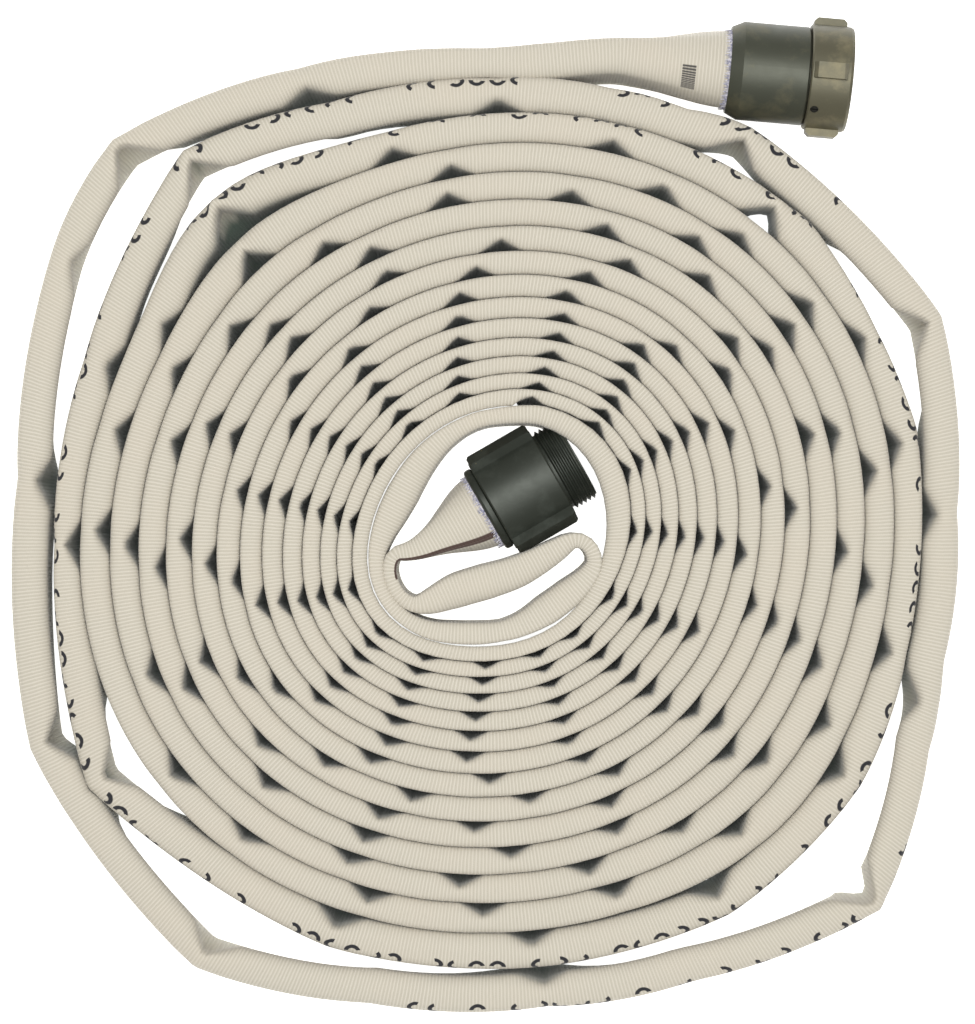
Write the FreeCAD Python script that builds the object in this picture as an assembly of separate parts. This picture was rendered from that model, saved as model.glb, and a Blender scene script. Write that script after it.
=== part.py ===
import FreeCAD, Part

import math
import os

from FreeCAD import Rotation, Vector

# A rolled 50 ft double-jacket fire hose with a threaded coupling at each end.
# Millimetres. The roll lies flat: its axis is +Z, and it rests on z = 0.
# Angles are counted from +X, anticlockwise, and the hose winds inwards that way.

# ---------------------------------------------------------------- driving sizes
# hose layers
HOSE_FLAT_WIDTH = 62.0
OUTER_JACKET_WALL = 1.0
INNER_JACKET_WALL = 0.9
LINER_WALL = 0.7
LAYER_GAP = 0.2
TURN_GAP = 0.7
FULLEST_TURN = 20.5

# the outer wall of the roll: an eccentric spiral with broad corners
SPIRAL_START_RADIUS = 273.0
SPIRAL_FIRST_PITCH = 19.3
SPIRAL_PITCH_LOSS = 0.37
SPIRAL_SHIFT_X = 1.7
SPIRAL_SHIFT_Y = 5.7
SPIRAL_START_ANGLE = 69.0
COIL_FIRST_ANGLE = 95.0
COIL_LAST_ANGLE = 5484.0
# corners that every turn has, and corners that fade inwards: (angle, height, half width, turns)
BROAD_CORNERS = ((50.0, 13.5, 50.0), (215.0, 10.0, 40.0))
FADING_CORNERS = ((134.0, 20.0, 15.0, 1.1), (322.0, 12.0, 24.0, 2.6))
# bulges of the innermost turns round what lies in the core: (angle, height, half width)
CORE_BULGES = ((35.0, 7.5, 75.0), (205.0, 5.0, 45.0))
CORE_BULGE_FADE = 8.0

# kinks of the two outermost turns, where the outer wall turns a corner: (angle, radius)
KINKS = (
    (95, 284), (117, 294), (138, 317), (151, 302), (177, 273), (209, 288),
    (240, 295), (260, 271), (282, 266), (300, 275), (322, 306), (340, 277),
    (350, 268), (369, 268), (392, 290), (423, 281), (431, 270), (440, 267),
    (454, 264), (475, 268), (493, 286), (521, 255), (545, 249), (576, 269),
    (613, 248), (641, 243), (668, 252), (692, 253), (711, 246), (740, 253),
    (770, 260), (789, 254),
)
KINK_SIDE_BULGE = 0.04

# couplings
WATERWAY_RADIUS = 18.5
EXPANSION_RING_WALL = 0.8
FIT_GAP = 0.2
BOWL_WALL = 5.5
SOCKET_DEPTH = 36.0
TAIL_GASKET_LENGTH = 3.0
EXPANSION_RING_LENGTH = 30.0
BOWL_LENGTH = 45.0
BOWL_CHAMFER = 7.0
BOWL_CHAMFER_DEPTH = 3.4
EDGE_CHAMFER = 0.8
CUT_OVERLAP = 1.0
BLOCK_OVERLAP = 0.5

SWIVEL_GAP = 0.6
SWIVEL_LENGTH = 24.0
JOURNAL_RADIUS = 24.6
JOURNAL_LENGTH = 8.6
RUNNING_GAP = 0.2
BALL_RADIUS = 2.0
BALL_COUNT = 36
BALL_GAP = 0.15
SWIVEL_WALL = 5.45
LUG_HEIGHT = 3.85
LUG_WIDTH = 9.0
LUG_LENGTH = 19.0
LUG_CHAMFER = 2.0
LUG_ROOT_DEPTH = 1.0
LUG_SET_BACK = 1.0
FIRST_LUG_ANGLE = 0.0
SWIVEL_LUGS = 4
GASKET_LENGTH = 4.2
GASKET_OUTER_RADIUS = 26.2
GASKET_BORE_GAP = 1.3
PLUG_RADIUS = 2.4
PLUG_ANGLE = 45.0
PLUG_SLOT_WIDTH = 0.8
PLUG_SLOT_DEPTH = 0.8

THREAD_PITCH = 25.4 / 9.0
THREAD_FLAT = 0.35
FEMALE_THREAD_MINOR_RADIUS = 23.6
MALE_THREAD_MAJOR_RADIUS = 25.27
THREAD_DEPTH = 1.75
MALE_THREAD_TURNS = 5
MALE_BODY_RADIUS = 28.5
MALE_BODY_LENGTH = 40.0
MALE_LIP_LENGTH = 5.0
MALE_LIP_RADIUS = 25.6
MALE_LIP_ROUND = MALE_LIP_LENGTH / 3
MALE_NECK_LENGTH = 1.6
MALE_RIBS = 3
MALE_RIB_WIDTH = 10.0
MALE_RIB_HEIGHT = 5.4
MALE_RIB_CHAMFER = 1.5
MALE_RIB_END_GAP = 0.5
MALE_FIRST_RIB_ANGLE = 60.0
MALE_THREAD_RUNOUT = 0.5

# where the couplings lie, and the hose between each and the coil
COUPLING_FLOOR_GAP = 0.2
FEMALE_MOUTH_X = 113.0
FEMALE_MOUTH_Y = 285.0
FEMALE_TAIL_LENGTH = 50.0
LEAD_RUN = 20.0
LEAD_BEND_X = 24.0
LEAD_BEND_Y = 3.0
LEAD_SWELL = 2.0
MALE_MOUTH_X = -4.8
MALE_MOUTH_Y = 19.0
MALE_AXIS_ANGLE = 35.0
MALE_TAIL_LENGTH = 40.0
MALE_TAIL_RUN = 9.0
MALE_TAIL_THICKNESS = 13.0

# centre line of the hose in the core, from the coil to the male coupling's tail: (x, y, thickness)
CORE_ROUTE = (
    (-12, 72, 8.2), (-25, 63, 9.0), (-37, 49, 11.5), (-47, 33, 12.5), (-54, 15, 12.0), (-60, 1, 9.0),
    (-64, -12, 7.6), (-63, -25, 7.6), (-55, -37, 7.6), (-43, -46, 7.6), (-29, -51, 8.6),
    (-14, -52, 10.5), (2, -50, 11.0), (17, -45, 10.0), (32, -36, 12.0), (44, -26, 12.0),
    (54, -17, 9.5), (59, -6, 8.4), (56, 4, 8.4), (48, 6, 8.6), (36, -3, 10.6),
    (18, -16, 12.4), (-2, -24, 13.5), (-20, -29, 12.0), (-35, -35, 8.8), (-44, -33, 8.0),
    (-52, -26, 7.8), (-55, -18, 8.0), (-52, -11, 8.2),
)
CORE_ROUTE_STEP = 5.0
COIL_STEP = 24.0
KINKED_COIL_STEP = 12.0
MOST_COIL_STEP_DEGREES = 9.0
CORE_TURN = 8.6
CORNER_SHARE = 0.45
STRAIGHT_WITHIN = 0.002


# ---------------------------------------------------------------- small helpers
def at_angle(radius, degrees):
    turn = math.radians(degrees)
    return Vector(radius * math.cos(turn), radius * math.sin(turn), 0)


def tube(outer_radius, inner_radius, start, end):
    """A tube along X."""
    along = Vector(1, 0, 0)
    length = end - start
    outside = Part.makeCylinder(outer_radius, length, Vector(start, 0, 0), along)
    inside_start = Vector(start - CUT_OVERLAP, 0, 0)
    inside = Part.makeCylinder(inner_radius, length + 2 * CUT_OVERLAP, inside_start, along)
    return outside.cut(inside)


def turned(profile):
    """A solid turned about X from (x, radius) points."""
    points = [Vector(x, 0, radius) for x, radius in profile]
    face = Part.Face(Part.makePolygon(points + points[:1]))
    return face.revolve(Vector(0, 0, 0), Vector(1, 0, 0), 360)


# ---------------------------------------------------------------- the roll's outline
def angle_between(a, b):
    return (a - b + 180) % 360 - 180


def lobe(angle, centre, half_width):
    return math.exp(-((angle_between(angle, centre) / half_width) ** 2))


def spiral_radius(angle):
    """Outer wall of the hose where the roll is nearly round."""
    turns = (angle - SPIRAL_START_ANGLE) / 360
    radius = SPIRAL_START_RADIUS - SPIRAL_FIRST_PITCH * turns + SPIRAL_PITCH_LOSS * turns ** 2
    radius += SPIRAL_SHIFT_X * math.cos(math.radians(angle))
    radius += SPIRAL_SHIFT_Y * math.sin(math.radians(angle))
    for corner, height, width in BROAD_CORNERS:
        radius += height * lobe(angle, corner, width)
    for corner, height, width, fade in FADING_CORNERS:
        radius += height * lobe(angle, corner, width) * math.exp((2 - turns) / fade)
    core_turns = (COIL_LAST_ANGLE - SPIRAL_START_ANGLE) / 360
    for corner, height, width in CORE_BULGES:
        radius += height * lobe(angle, corner, width) * math.exp((turns - core_turns) / CORE_BULGE_FADE)
    return radius


def kinked_radius(angle):
    """Outer wall of the two outermost turns, which run nearly straight from kink to kink."""
    for (a, ra), (b, rb) in zip(KINKS, KINKS[1:]):
        if a <= angle <= b:
            whole = math.radians(b - a)
            part = math.radians(angle - a)
            straight = ra * rb * math.sin(whole) / (ra * math.sin(part) + rb * math.sin(whole - part))
            share = part / whole
            side = (ra + rb) / 2 * whole
            return straight + 4 * KINK_SIDE_BULGE * side * share * (1 - share)
    return spiral_radius(angle)


def outer_radius(angle):
    if angle < KINKS[-1][0]:
        return kinked_radius(angle)
    return spiral_radius(angle)


def coil_thickness(angle):
    if angle + 360 > COIL_LAST_ANGLE:
        return CORE_TURN
    room = outer_radius(angle) - outer_radius(angle + 360) - TURN_GAP
    return min(FULLEST_TURN, room)


# ---------------------------------------------------------------- stations along the hose
# a station is (centre, outward normal, half thickness)
def coil_stations():
    stations = []
    angle = COIL_FIRST_ANGLE
    while angle < COIL_LAST_ANGLE:
        half = coil_thickness(angle) / 2
        stations.append((at_angle(outer_radius(angle) - half, angle), at_angle(1, angle), half))
        step = KINKED_COIL_STEP if angle < KINKS[-1][0] else COIL_STEP
        angle += min(math.degrees(step / outer_radius(angle)), MOST_COIL_STEP_DEGREES)
    return stations


def rounded_route(points, step):
    """Straight runs joined by tangent arcs, as (point, direction, distance), with the corners' distances."""
    line = []
    marks = [0.0]
    radii = []
    travelled = 0.0
    here = Vector(*points[0][:2], 0)
    for index in range(1, len(points)):
        corner = Vector(*points[index][:2], 0)
        before = corner.sub(Vector(*points[index - 1][:2], 0))
        ahead = before
        cut = 0.0
        if index < len(points) - 1:
            ahead = Vector(*points[index + 1][:2], 0).sub(corner)
            turn = math.atan2(before.cross(ahead).z, before.dot(ahead))
            cut = CORNER_SHARE * min(before.Length, ahead.Length)
            radius = cut / math.tan(abs(turn) / 2)
            radii.append(radius)
        way = Vector(before).normalize()
        arc_start = corner.sub(way * cut)
        run = arc_start.sub(here)
        pieces = max(1, round(run.Length / step))
        for piece in range(pieces):
            share = piece / pieces
            line.append((here.add(run * share), way, travelled + run.Length * share))
        travelled += run.Length
        here = arc_start
        if cut:
            side = Vector(-way.y, way.x, 0) * math.copysign(1, turn)
            centre = arc_start.add(side * radius)
            arc = radius * abs(turn)
            bits = max(2, round(arc / step))
            for bit in range(bits):
                spin = Rotation(Vector(0, 0, 1), math.degrees(turn) * bit / bits)
                spot = centre.add(spin.multVec(arc_start.sub(centre)))
                line.append((spot, spin.multVec(way), travelled + arc * bit / bits))
            marks.append(travelled + arc / 2)
            travelled += arc
            here = corner.add(Vector(ahead).normalize() * cut)
    line.append((here, Vector(ahead).normalize(), travelled))
    marks.append(travelled)
    return line, marks, radii


def route_stations(points, step):
    """Stations along a rounded route, at least half a step apart, their thickness changing evenly."""
    line, marks, radii = rounded_route(points, step)
    print("route radii", [round(radius, 1) for radius in radii])
    stations = []
    last_kept = -step
    whole = line[-1][2]
    index = 0
    for point, way, distance in line:
        crowded = distance - last_kept < step / 2 or whole - distance < step / 2
        if crowded and distance < whole:
            continue
        last_kept = distance
        while index < len(marks) - 2 and distance > marks[index + 1]:
            index += 1
        share = (distance - marks[index]) / (marks[index + 1] - marks[index])
        ease = share * share * (3 - 2 * share)
        thickness = points[index][2] + (points[index + 1][2] - points[index][2]) * ease
        stations.append((point, right_of(way), thickness / 2))
    return stations


def right_of(way):
    return Vector(way.y, -way.x, 0)


def male_axis():
    return at_angle(1, MALE_AXIS_ANGLE)


def male_mouth():
    return Vector(MALE_MOUTH_X, MALE_MOUTH_Y, 0)


def hose_stations():
    """The whole centre line between the two tails, outside end first."""
    coil = coil_stations()
    first, _, first_half = coil[0]
    tail_start = Vector(FEMALE_MOUTH_X - FEMALE_TAIL_LENGTH, FEMALE_MOUTH_Y, 0)
    lead = [
        (tail_start.x, tail_start.y, 2 * first_half + LEAD_SWELL),
        (tail_start.x - LEAD_RUN, tail_start.y, 2 * first_half + LEAD_SWELL),
        (first.x + LEAD_BEND_X, first.y + LEAD_BEND_Y, 2 * first_half),
        (first.x, first.y, 2 * first_half),
    ]
    last, _, last_half = coil[-1]
    tail = male_mouth().sub(male_axis() * MALE_TAIL_LENGTH)
    before_tail = tail.sub(male_axis() * MALE_TAIL_RUN)
    core = [(last.x, last.y, 2 * last_half)]
    core += list(CORE_ROUTE)
    core += [(before_tail.x, before_tail.y, MALE_TAIL_THICKNESS), (tail.x, tail.y, MALE_TAIL_THICKNESS)]
    stations = route_stations(lead, COIL_STEP / 2)[:-1]
    stations += coil[:-1]
    stations += route_stations(core, CORE_ROUTE_STEP)
    return stations


# ---------------------------------------------------------------- the hose's layers
def wall_edges(points):
    """Arcs through every second point, and a straight edge where one point is left over."""
    edges = []
    for start, middle, end in zip(points[0::2], points[1::2], points[2::2]):
        straight = middle.distanceToLine(start, end.sub(start)) < STRAIGHT_WITHIN
        curve = Part.LineSegment(start, end) if straight else Part.Arc(start, middle, end)
        edges.append(curve.toShape())
    if len(points) % 2 == 0:
        edges.append(Part.makeLine(points[-2], points[-1]))
    return edges


def strip(stations, inset):
    """The coiled, flattened hose as a solid, its faces set in by inset."""
    base = inset
    outside = [c.add(n * (half - inset)).add(Vector(0, 0, base)) for c, n, half in stations]
    inside = [c.sub(n * (half - inset)).add(Vector(0, 0, base)) for c, n, half in stations]
    edges = wall_edges(outside) + wall_edges(inside)
    edges.append(Part.makeLine(outside[0], inside[0]))
    edges.append(Part.makeLine(outside[-1], inside[-1]))
    face = Part.Face(Part.Wire(Part.__sortEdges__(edges)))
    return face.extrude(Vector(0, 0, HOSE_FLAT_WIDTH - 2 * inset))


def oblong(centre, side, half, inset):
    """The flattened section as a wire of four sides."""
    corners = []
    for across, up in ((1, inset), (1, HOSE_FLAT_WIDTH - inset), (-1, HOSE_FLAT_WIDTH - inset), (-1, inset)):
        corners.append(centre.add(side * (across * (half - inset))).add(Vector(0, 0, up)))
    return Part.makePolygon(corners + corners[:1])


def ring(centre, side, radius):
    """The round section as a wire of four arcs that face the oblong's four sides."""
    points = []
    for step in range(8):
        lean = math.radians(45 * step - 45)
        across = side * (radius * math.cos(lean))
        points.append(centre.add(across).add(Vector(0, 0, radius * math.sin(lean))))
    points.append(points[0])
    return Part.Wire([Part.Arc(*points[i:i + 3]).toShape() for i in (0, 2, 4, 6)])


def tail_solid(station, mouth, way, radius, inset, depth):
    """Flat section growing round, and on into the bowl to depth."""
    centre, side, half = station
    loft = Part.makeLoft([oblong(centre, side, half, inset), ring(mouth, side, radius)], True, True)
    return loft.fuse(Part.makeCylinder(radius, depth, mouth, way))


def hose_solid(stations, inset, radius, depth):
    """Everything inside the surface that lies inset from the hose's outside."""
    start = (stations[0][0], stations[0][1], stations[0][2])
    end = (stations[-1][0], stations[-1][1], stations[-1][2])
    height = Vector(0, 0, coupling_height())
    female = Vector(FEMALE_MOUTH_X, FEMALE_MOUTH_Y, 0).add(height)
    whole = strip(stations, inset)
    whole = whole.fuse(tail_solid(start, female, Vector(1, 0, 0), radius, inset, depth))
    return whole.fuse(tail_solid(end, male_mouth().add(height), male_axis(), radius, inset, depth))


def layer_radii():
    """Outer and inner radius of each layer at the couplings, from the ring outwards."""
    radii = {}
    inner = WATERWAY_RADIUS + EXPANSION_RING_WALL + LAYER_GAP
    for name, wall in (
        ("liner", LINER_WALL),
        ("inner_jacket", INNER_JACKET_WALL),
        ("outer_jacket", OUTER_JACKET_WALL),
    ):
        radii[name] = (inner + wall, inner)
        inner += wall + LAYER_GAP
    return radii


def hose_layer(stations, name, wall, inset):
    outer, inner = layer_radii()[name]
    end = SOCKET_DEPTH - TAIL_GASKET_LENGTH - 2 * FIT_GAP
    solid = hose_solid(stations, inset, outer, end)
    hollow = hose_solid(stations, inset + wall, inner, end + CUT_OVERLAP)
    return solid.cut(hollow)


# ---------------------------------------------------------------- couplings, along +X from the hose side
def socket_radius():
    return layer_radii()["outer_jacket"][0] + FIT_GAP


def bowl_radius():
    return socket_radius() + BOWL_WALL


def swivel_radius():
    return JOURNAL_RADIUS + RUNNING_GAP + SWIVEL_WALL


def lug_radius():
    return swivel_radius() + LUG_HEIGHT


def coupling_height():
    return max(lug_radius(), MALE_BODY_RADIUS + MALE_RIB_HEIGHT) + COUPLING_FLOOR_GAP


def race_x():
    return BOWL_LENGTH + JOURNAL_LENGTH / 2 + SWIVEL_GAP / 2


def race_radius():
    return JOURNAL_RADIUS + RUNNING_GAP / 2


def race():
    return Part.makeTorus(race_radius(), BALL_RADIUS + BALL_GAP, Vector(race_x(), 0, 0), Vector(1, 0, 0))


def female_bowl():
    outer = bowl_radius()
    journal_end = BOWL_LENGTH + JOURNAL_LENGTH
    body = turned([
        (0, socket_radius()),
        (0, outer - BOWL_CHAMFER_DEPTH),
        (BOWL_CHAMFER, outer),
        (BOWL_LENGTH - EDGE_CHAMFER, outer),
        (BOWL_LENGTH, outer - EDGE_CHAMFER),
        (BOWL_LENGTH, JOURNAL_RADIUS),
        (journal_end, JOURNAL_RADIUS),
        (journal_end, WATERWAY_RADIUS),
        (SOCKET_DEPTH, WATERWAY_RADIUS),
        (SOCKET_DEPTH, socket_radius()),
    ])
    return body.cut(race())


def expansion_ring():
    end = SOCKET_DEPTH - TAIL_GASKET_LENGTH - 2 * FIT_GAP
    return tube(WATERWAY_RADIUS + EXPANSION_RING_WALL, WATERWAY_RADIUS, end - EXPANSION_RING_LENGTH, end)


def tail_gasket():
    end = SOCKET_DEPTH - FIT_GAP
    return tube(socket_radius() - FIT_GAP, WATERWAY_RADIUS + FIT_GAP, end - TAIL_GASKET_LENGTH, end)


def lug(radius, height, width, start, end, chamfer):
    """A raised block along X on a round body, pointing +Z, its ends chamfered."""
    foot = radius - LUG_ROOT_DEPTH
    top = radius + height
    side = [(start, foot), (start, top - chamfer), (start + chamfer, top)]
    side += [(end - chamfer, top), (end, top - chamfer), (end, foot)]
    points = [Vector(x, -width / 2, z) for x, z in side]
    return Part.Face(Part.makePolygon(points + points[:1])).extrude(Vector(0, width, 0))


def lugs(count, first_angle, block):
    shapes = []
    for index in range(count):
        turn = first_angle + 360 / count * index
        shapes.append(block.rotated(Vector(0, 0, 0), Vector(1, 0, 0), turn))
    return shapes


def thread_teeth(root_radius, crest_radius, start, turns):
    """(x, radius) points of a row of thread crests that rise from root to crest."""
    profile = []
    flank = (THREAD_PITCH - 2 * THREAD_FLAT) / 2
    for index in range(turns):
        x = start + index * THREAD_PITCH
        profile += [(x, root_radius), (x + flank, crest_radius)]
        profile += [(x + flank + THREAD_FLAT, crest_radius), (x + 2 * flank + THREAD_FLAT, root_radius)]
    return profile


def female_swivel():
    start = BOWL_LENGTH + SWIVEL_GAP
    end = start + SWIVEL_LENGTH
    outer = swivel_radius()
    bore = JOURNAL_RADIUS + RUNNING_GAP
    bore_end = BOWL_LENGTH + JOURNAL_LENGTH + FIT_GAP
    seat_end = bore_end + GASKET_LENGTH + FIT_GAP
    root = FEMALE_THREAD_MINOR_RADIUS + THREAD_DEPTH
    turns = int((end - seat_end) / THREAD_PITCH)
    thread = thread_teeth(root, FEMALE_THREAD_MINOR_RADIUS, end - turns * THREAD_PITCH, turns)
    profile = [(start, bore), (start, outer - EDGE_CHAMFER), (start + EDGE_CHAMFER, outer)]
    profile += [(end - 2 * EDGE_CHAMFER, outer), (end, outer - EDGE_CHAMFER), (end, root)]
    profile += list(reversed(thread))
    profile += [(seat_end, root), (seat_end, GASKET_OUTER_RADIUS + FIT_GAP)]
    profile += [(bore_end, GASKET_OUTER_RADIUS + FIT_GAP), (bore_end, bore)]
    middle = (start + end) / 2 - LUG_SET_BACK
    lug_start = middle - LUG_LENGTH / 2
    block = lug(outer, LUG_HEIGHT, LUG_WIDTH, lug_start, lug_start + LUG_LENGTH, LUG_CHAMFER)
    body = turned(profile)
    hollow = Part.makeCylinder(outer - BLOCK_OVERLAP, end - start, Vector(start, 0, 0), Vector(1, 0, 0))
    for raised in lugs(SWIVEL_LUGS, FIRST_LUG_ANGLE, block.cut(hollow)):
        body = body.fuse(raised)
    return body.cut(race()).cut(plug_hole(PLUG_RADIUS)).removeSplitter()


def plug_hole(radius):
    """The hole the balls are loaded through, between two lugs."""
    start = Vector(race_x(), 0, race_radius())
    hole = Part.makeCylinder(radius, swivel_radius(), start, Vector(0, 0, 1))
    return hole.rotated(Vector(0, 0, 0), Vector(1, 0, 0), PLUG_ANGLE)


def ball_plug():
    """Set screw that closes the ball hole, flush with the swivel, slotted."""
    bottom = race_radius() + BALL_RADIUS + 2 * BALL_GAP
    top = swivel_radius() - FIT_GAP
    foot = Vector(race_x(), 0, bottom)
    plug = Part.makeCylinder(PLUG_RADIUS - FIT_GAP, top - bottom, foot, Vector(0, 0, 1))
    slot = Part.makeBox(4 * PLUG_RADIUS, PLUG_SLOT_WIDTH, PLUG_SLOT_DEPTH)
    slot.translate(Vector(race_x() - 2 * PLUG_RADIUS, -PLUG_SLOT_WIDTH / 2, top - PLUG_SLOT_DEPTH))
    return plug.cut(slot).rotated(Vector(0, 0, 0), Vector(1, 0, 0), PLUG_ANGLE)


def swivel_balls():
    balls = []
    for index in range(BALL_COUNT):
        spot = at_angle(race_radius(), 360 / BALL_COUNT * (index + 0.5))
        balls.append(Part.makeSphere(BALL_RADIUS, Vector(race_x(), spot.x, spot.y)))
    return Part.makeCompound(balls)


def swivel_gasket():
    start = BOWL_LENGTH + JOURNAL_LENGTH + 2 * FIT_GAP
    end = start + GASKET_LENGTH - FIT_GAP
    return tube(GASKET_OUTER_RADIUS, WATERWAY_RADIUS + GASKET_BORE_GAP, start, end)


def male_coupling():
    body_end = MALE_LIP_LENGTH + MALE_BODY_LENGTH
    root = MALE_THREAD_MAJOR_RADIUS - THREAD_DEPTH
    thread_start = body_end + MALE_NECK_LENGTH
    thread = thread_teeth(root, MALE_THREAD_MAJOR_RADIUS, thread_start, MALE_THREAD_TURNS)
    round_off = MALE_LIP_ROUND
    profile = [
        (0, socket_radius()),
        (0, MALE_LIP_RADIUS - round_off),
        (round_off / 3, MALE_LIP_RADIUS - round_off / 3),
        (round_off, MALE_LIP_RADIUS),
        (MALE_LIP_LENGTH - round_off / 2, MALE_LIP_RADIUS),
        (MALE_LIP_LENGTH, MALE_LIP_RADIUS - round_off / 2),
        (MALE_LIP_LENGTH, MALE_BODY_RADIUS - EDGE_CHAMFER),
        (MALE_LIP_LENGTH + EDGE_CHAMFER, MALE_BODY_RADIUS),
        (body_end - EDGE_CHAMFER, MALE_BODY_RADIUS),
        (body_end, MALE_BODY_RADIUS - EDGE_CHAMFER),
        (body_end, root),
    ]
    profile += thread
    profile += [(male_end(), root), (male_end(), WATERWAY_RADIUS)]
    profile += [(SOCKET_DEPTH, WATERWAY_RADIUS), (SOCKET_DEPTH, socket_radius())]
    body = turned(profile)
    rib_start = MALE_LIP_LENGTH + MALE_RIB_END_GAP
    rib_end = body_end - MALE_RIB_END_GAP
    block = lug(MALE_BODY_RADIUS, MALE_RIB_HEIGHT, MALE_RIB_WIDTH, rib_start, rib_end, MALE_RIB_CHAMFER)
    hollow_radius = MALE_BODY_RADIUS - BLOCK_OVERLAP
    hollow = Part.makeCylinder(hollow_radius, body_end + CUT_OVERLAP, Vector(0, 0, 0), Vector(1, 0, 0))
    for raised in lugs(MALE_RIBS, MALE_FIRST_RIB_ANGLE, block.cut(hollow)):
        body = body.fuse(raised)
    return body.removeSplitter()


def male_end():
    threads = MALE_THREAD_TURNS * THREAD_PITCH
    return MALE_LIP_LENGTH + MALE_BODY_LENGTH + MALE_NECK_LENGTH + threads + MALE_THREAD_RUNOUT


# ---------------------------------------------------------------- assembly
def on_female(shape):
    shape.translate(Vector(FEMALE_MOUTH_X, FEMALE_MOUTH_Y, coupling_height()))
    return shape


def on_male(shape):
    turned_shape = shape.rotated(Vector(0, 0, 0), Vector(0, 0, 1), MALE_AXIS_ANGLE)
    turned_shape.translate(Vector(MALE_MOUTH_X, MALE_MOUTH_Y, coupling_height()))
    return turned_shape


def build():
    stations = hose_stations()
    length = 0
    for (a, _, _), (b, _, _) in zip(stations, stations[1:]):
        length += a.distanceToPoint(b)
    length += FEMALE_TAIL_LENGTH + MALE_TAIL_LENGTH
    print("hose between the couplings", round(length), "mm,", len(stations), "stations")
    middle = OUTER_JACKET_WALL + LAYER_GAP
    inner = middle + INNER_JACKET_WALL + LAYER_GAP
    nodes = {
        "outer_jacket": hose_layer(stations, "outer_jacket", OUTER_JACKET_WALL, 0),
        "inner_jacket": hose_layer(stations, "inner_jacket", INNER_JACKET_WALL, middle),
        "rubber_liner": hose_layer(stations, "liner", LINER_WALL, inner),
        "female_bowl": on_female(female_bowl()),
        "female_expansion_ring": on_female(expansion_ring()),
        "female_tail_gasket": on_female(tail_gasket()),
        "female_swivel": on_female(female_swivel()),
        "swivel_balls": on_female(swivel_balls()),
        "ball_plug": on_female(ball_plug()),
        "swivel_gasket": on_female(swivel_gasket()),
        "male_coupling": on_male(male_coupling()),
        "male_expansion_ring": on_male(expansion_ring()),
        "male_tail_gasket": on_male(tail_gasket()),
    }
    return nodes


def centred(nodes):
    """The origin is the middle of the whole object's base."""
    box = Part.makeCompound(list(nodes.values())).BoundBox
    shift = Vector(-box.Center.x, -box.Center.y, -box.ZMin)
    print("shift", shift)
    for shape in nodes.values():
        shape.translate(shift)
    return shift


nodes = build()
shift = centred(nodes)
os.makedirs("parts", exist_ok=True)
for name, shape in nodes.items():
    shape.exportStep("parts/" + name + ".step")
    print(name, shape.isValid(), len(shape.Solids), round(shape.Volume))
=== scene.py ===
import math

import bpy
import numpy as np
from mathutils import Matrix, Vector


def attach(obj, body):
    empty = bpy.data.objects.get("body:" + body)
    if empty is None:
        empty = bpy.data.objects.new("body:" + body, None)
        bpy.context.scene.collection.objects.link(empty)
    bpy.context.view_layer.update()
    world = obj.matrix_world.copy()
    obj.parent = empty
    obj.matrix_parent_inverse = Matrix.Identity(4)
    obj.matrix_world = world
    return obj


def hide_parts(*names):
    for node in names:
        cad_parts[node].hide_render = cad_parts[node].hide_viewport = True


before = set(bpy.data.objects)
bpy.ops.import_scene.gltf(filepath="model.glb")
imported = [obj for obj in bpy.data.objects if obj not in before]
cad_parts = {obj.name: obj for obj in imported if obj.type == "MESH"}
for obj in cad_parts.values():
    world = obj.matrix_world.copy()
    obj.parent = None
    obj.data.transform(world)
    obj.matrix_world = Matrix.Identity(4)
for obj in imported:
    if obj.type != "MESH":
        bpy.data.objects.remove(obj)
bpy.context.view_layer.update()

bl_info = {
    "name": "Rolled fire hose",
    "version": (1, 0, 0),
    "blender": (4, 5, 0),
    "location": "3D View > Sidebar > Fire hose",
    "description": "Makes the woven hose, its couplings' finishes and the studio",
    "category": "Add Mesh",
}

MM = 0.001

# ------------------------------------------------ the roll's outline, in millimetres and degrees
# it is the CAD part's outline: angles run along the hose, from the outer end to the core
ROLL_OFFSET = Vector((3.3294, -25.4042, 0.0)) * MM
SPIRAL_START_RADIUS = 273.0
SPIRAL_FIRST_PITCH = 19.3
SPIRAL_PITCH_LOSS = 0.37
SPIRAL_SHIFT = (1.7, 5.7)
SPIRAL_START_ANGLE = 69.0
COIL_FIRST_ANGLE = 95.0
COIL_LAST_ANGLE = 5484.0
# corners of the whole roll: (angle, height, width), and for fading ones the turns that they fade over
BROAD_CORNERS = ((50.0, 13.5, 50.0), (215.0, 10.0, 40.0))
FADING_CORNERS = ((134.0, 20.0, 15.0, 1.1), (322.0, 12.0, 24.0, 2.6))
CORE_BULGES = ((35.0, 2.5, 75.0), (205.0, 3.0, 45.0))
CORE_BULGE_FADE = 8.0
# thickness of the hose: at most, at the innermost turn, and how that turn swells at one place
FULLEST_TURN = 20.5
TURN_GAP = 0.3
CORE_TURN = 8.6
CORE_TURN_SWELL = (32.0, 6.5, 42.0)
KINK_SIDE_BULGE = 0.04
# kinks of the two outermost turns: (angle, radius of the outer wall)
OUTER_KINKS = (
    (95, 284), (117, 294), (138, 317), (151, 302), (177, 273), (209, 288),
    (240, 295), (260, 271), (282, 266), (300, 275), (322, 306), (340, 277),
    (350, 268), (369, 268), (392, 290), (423, 282), (431, 273), (440, 270),
    (454, 267), (475, 269), (493, 286), (521, 255), (545, 249), (576, 269),
    (613, 248), (641, 243), (668, 252), (692, 253), (711, 246), (740, 253),
    (770, 260), (789, 254),
)
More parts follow.
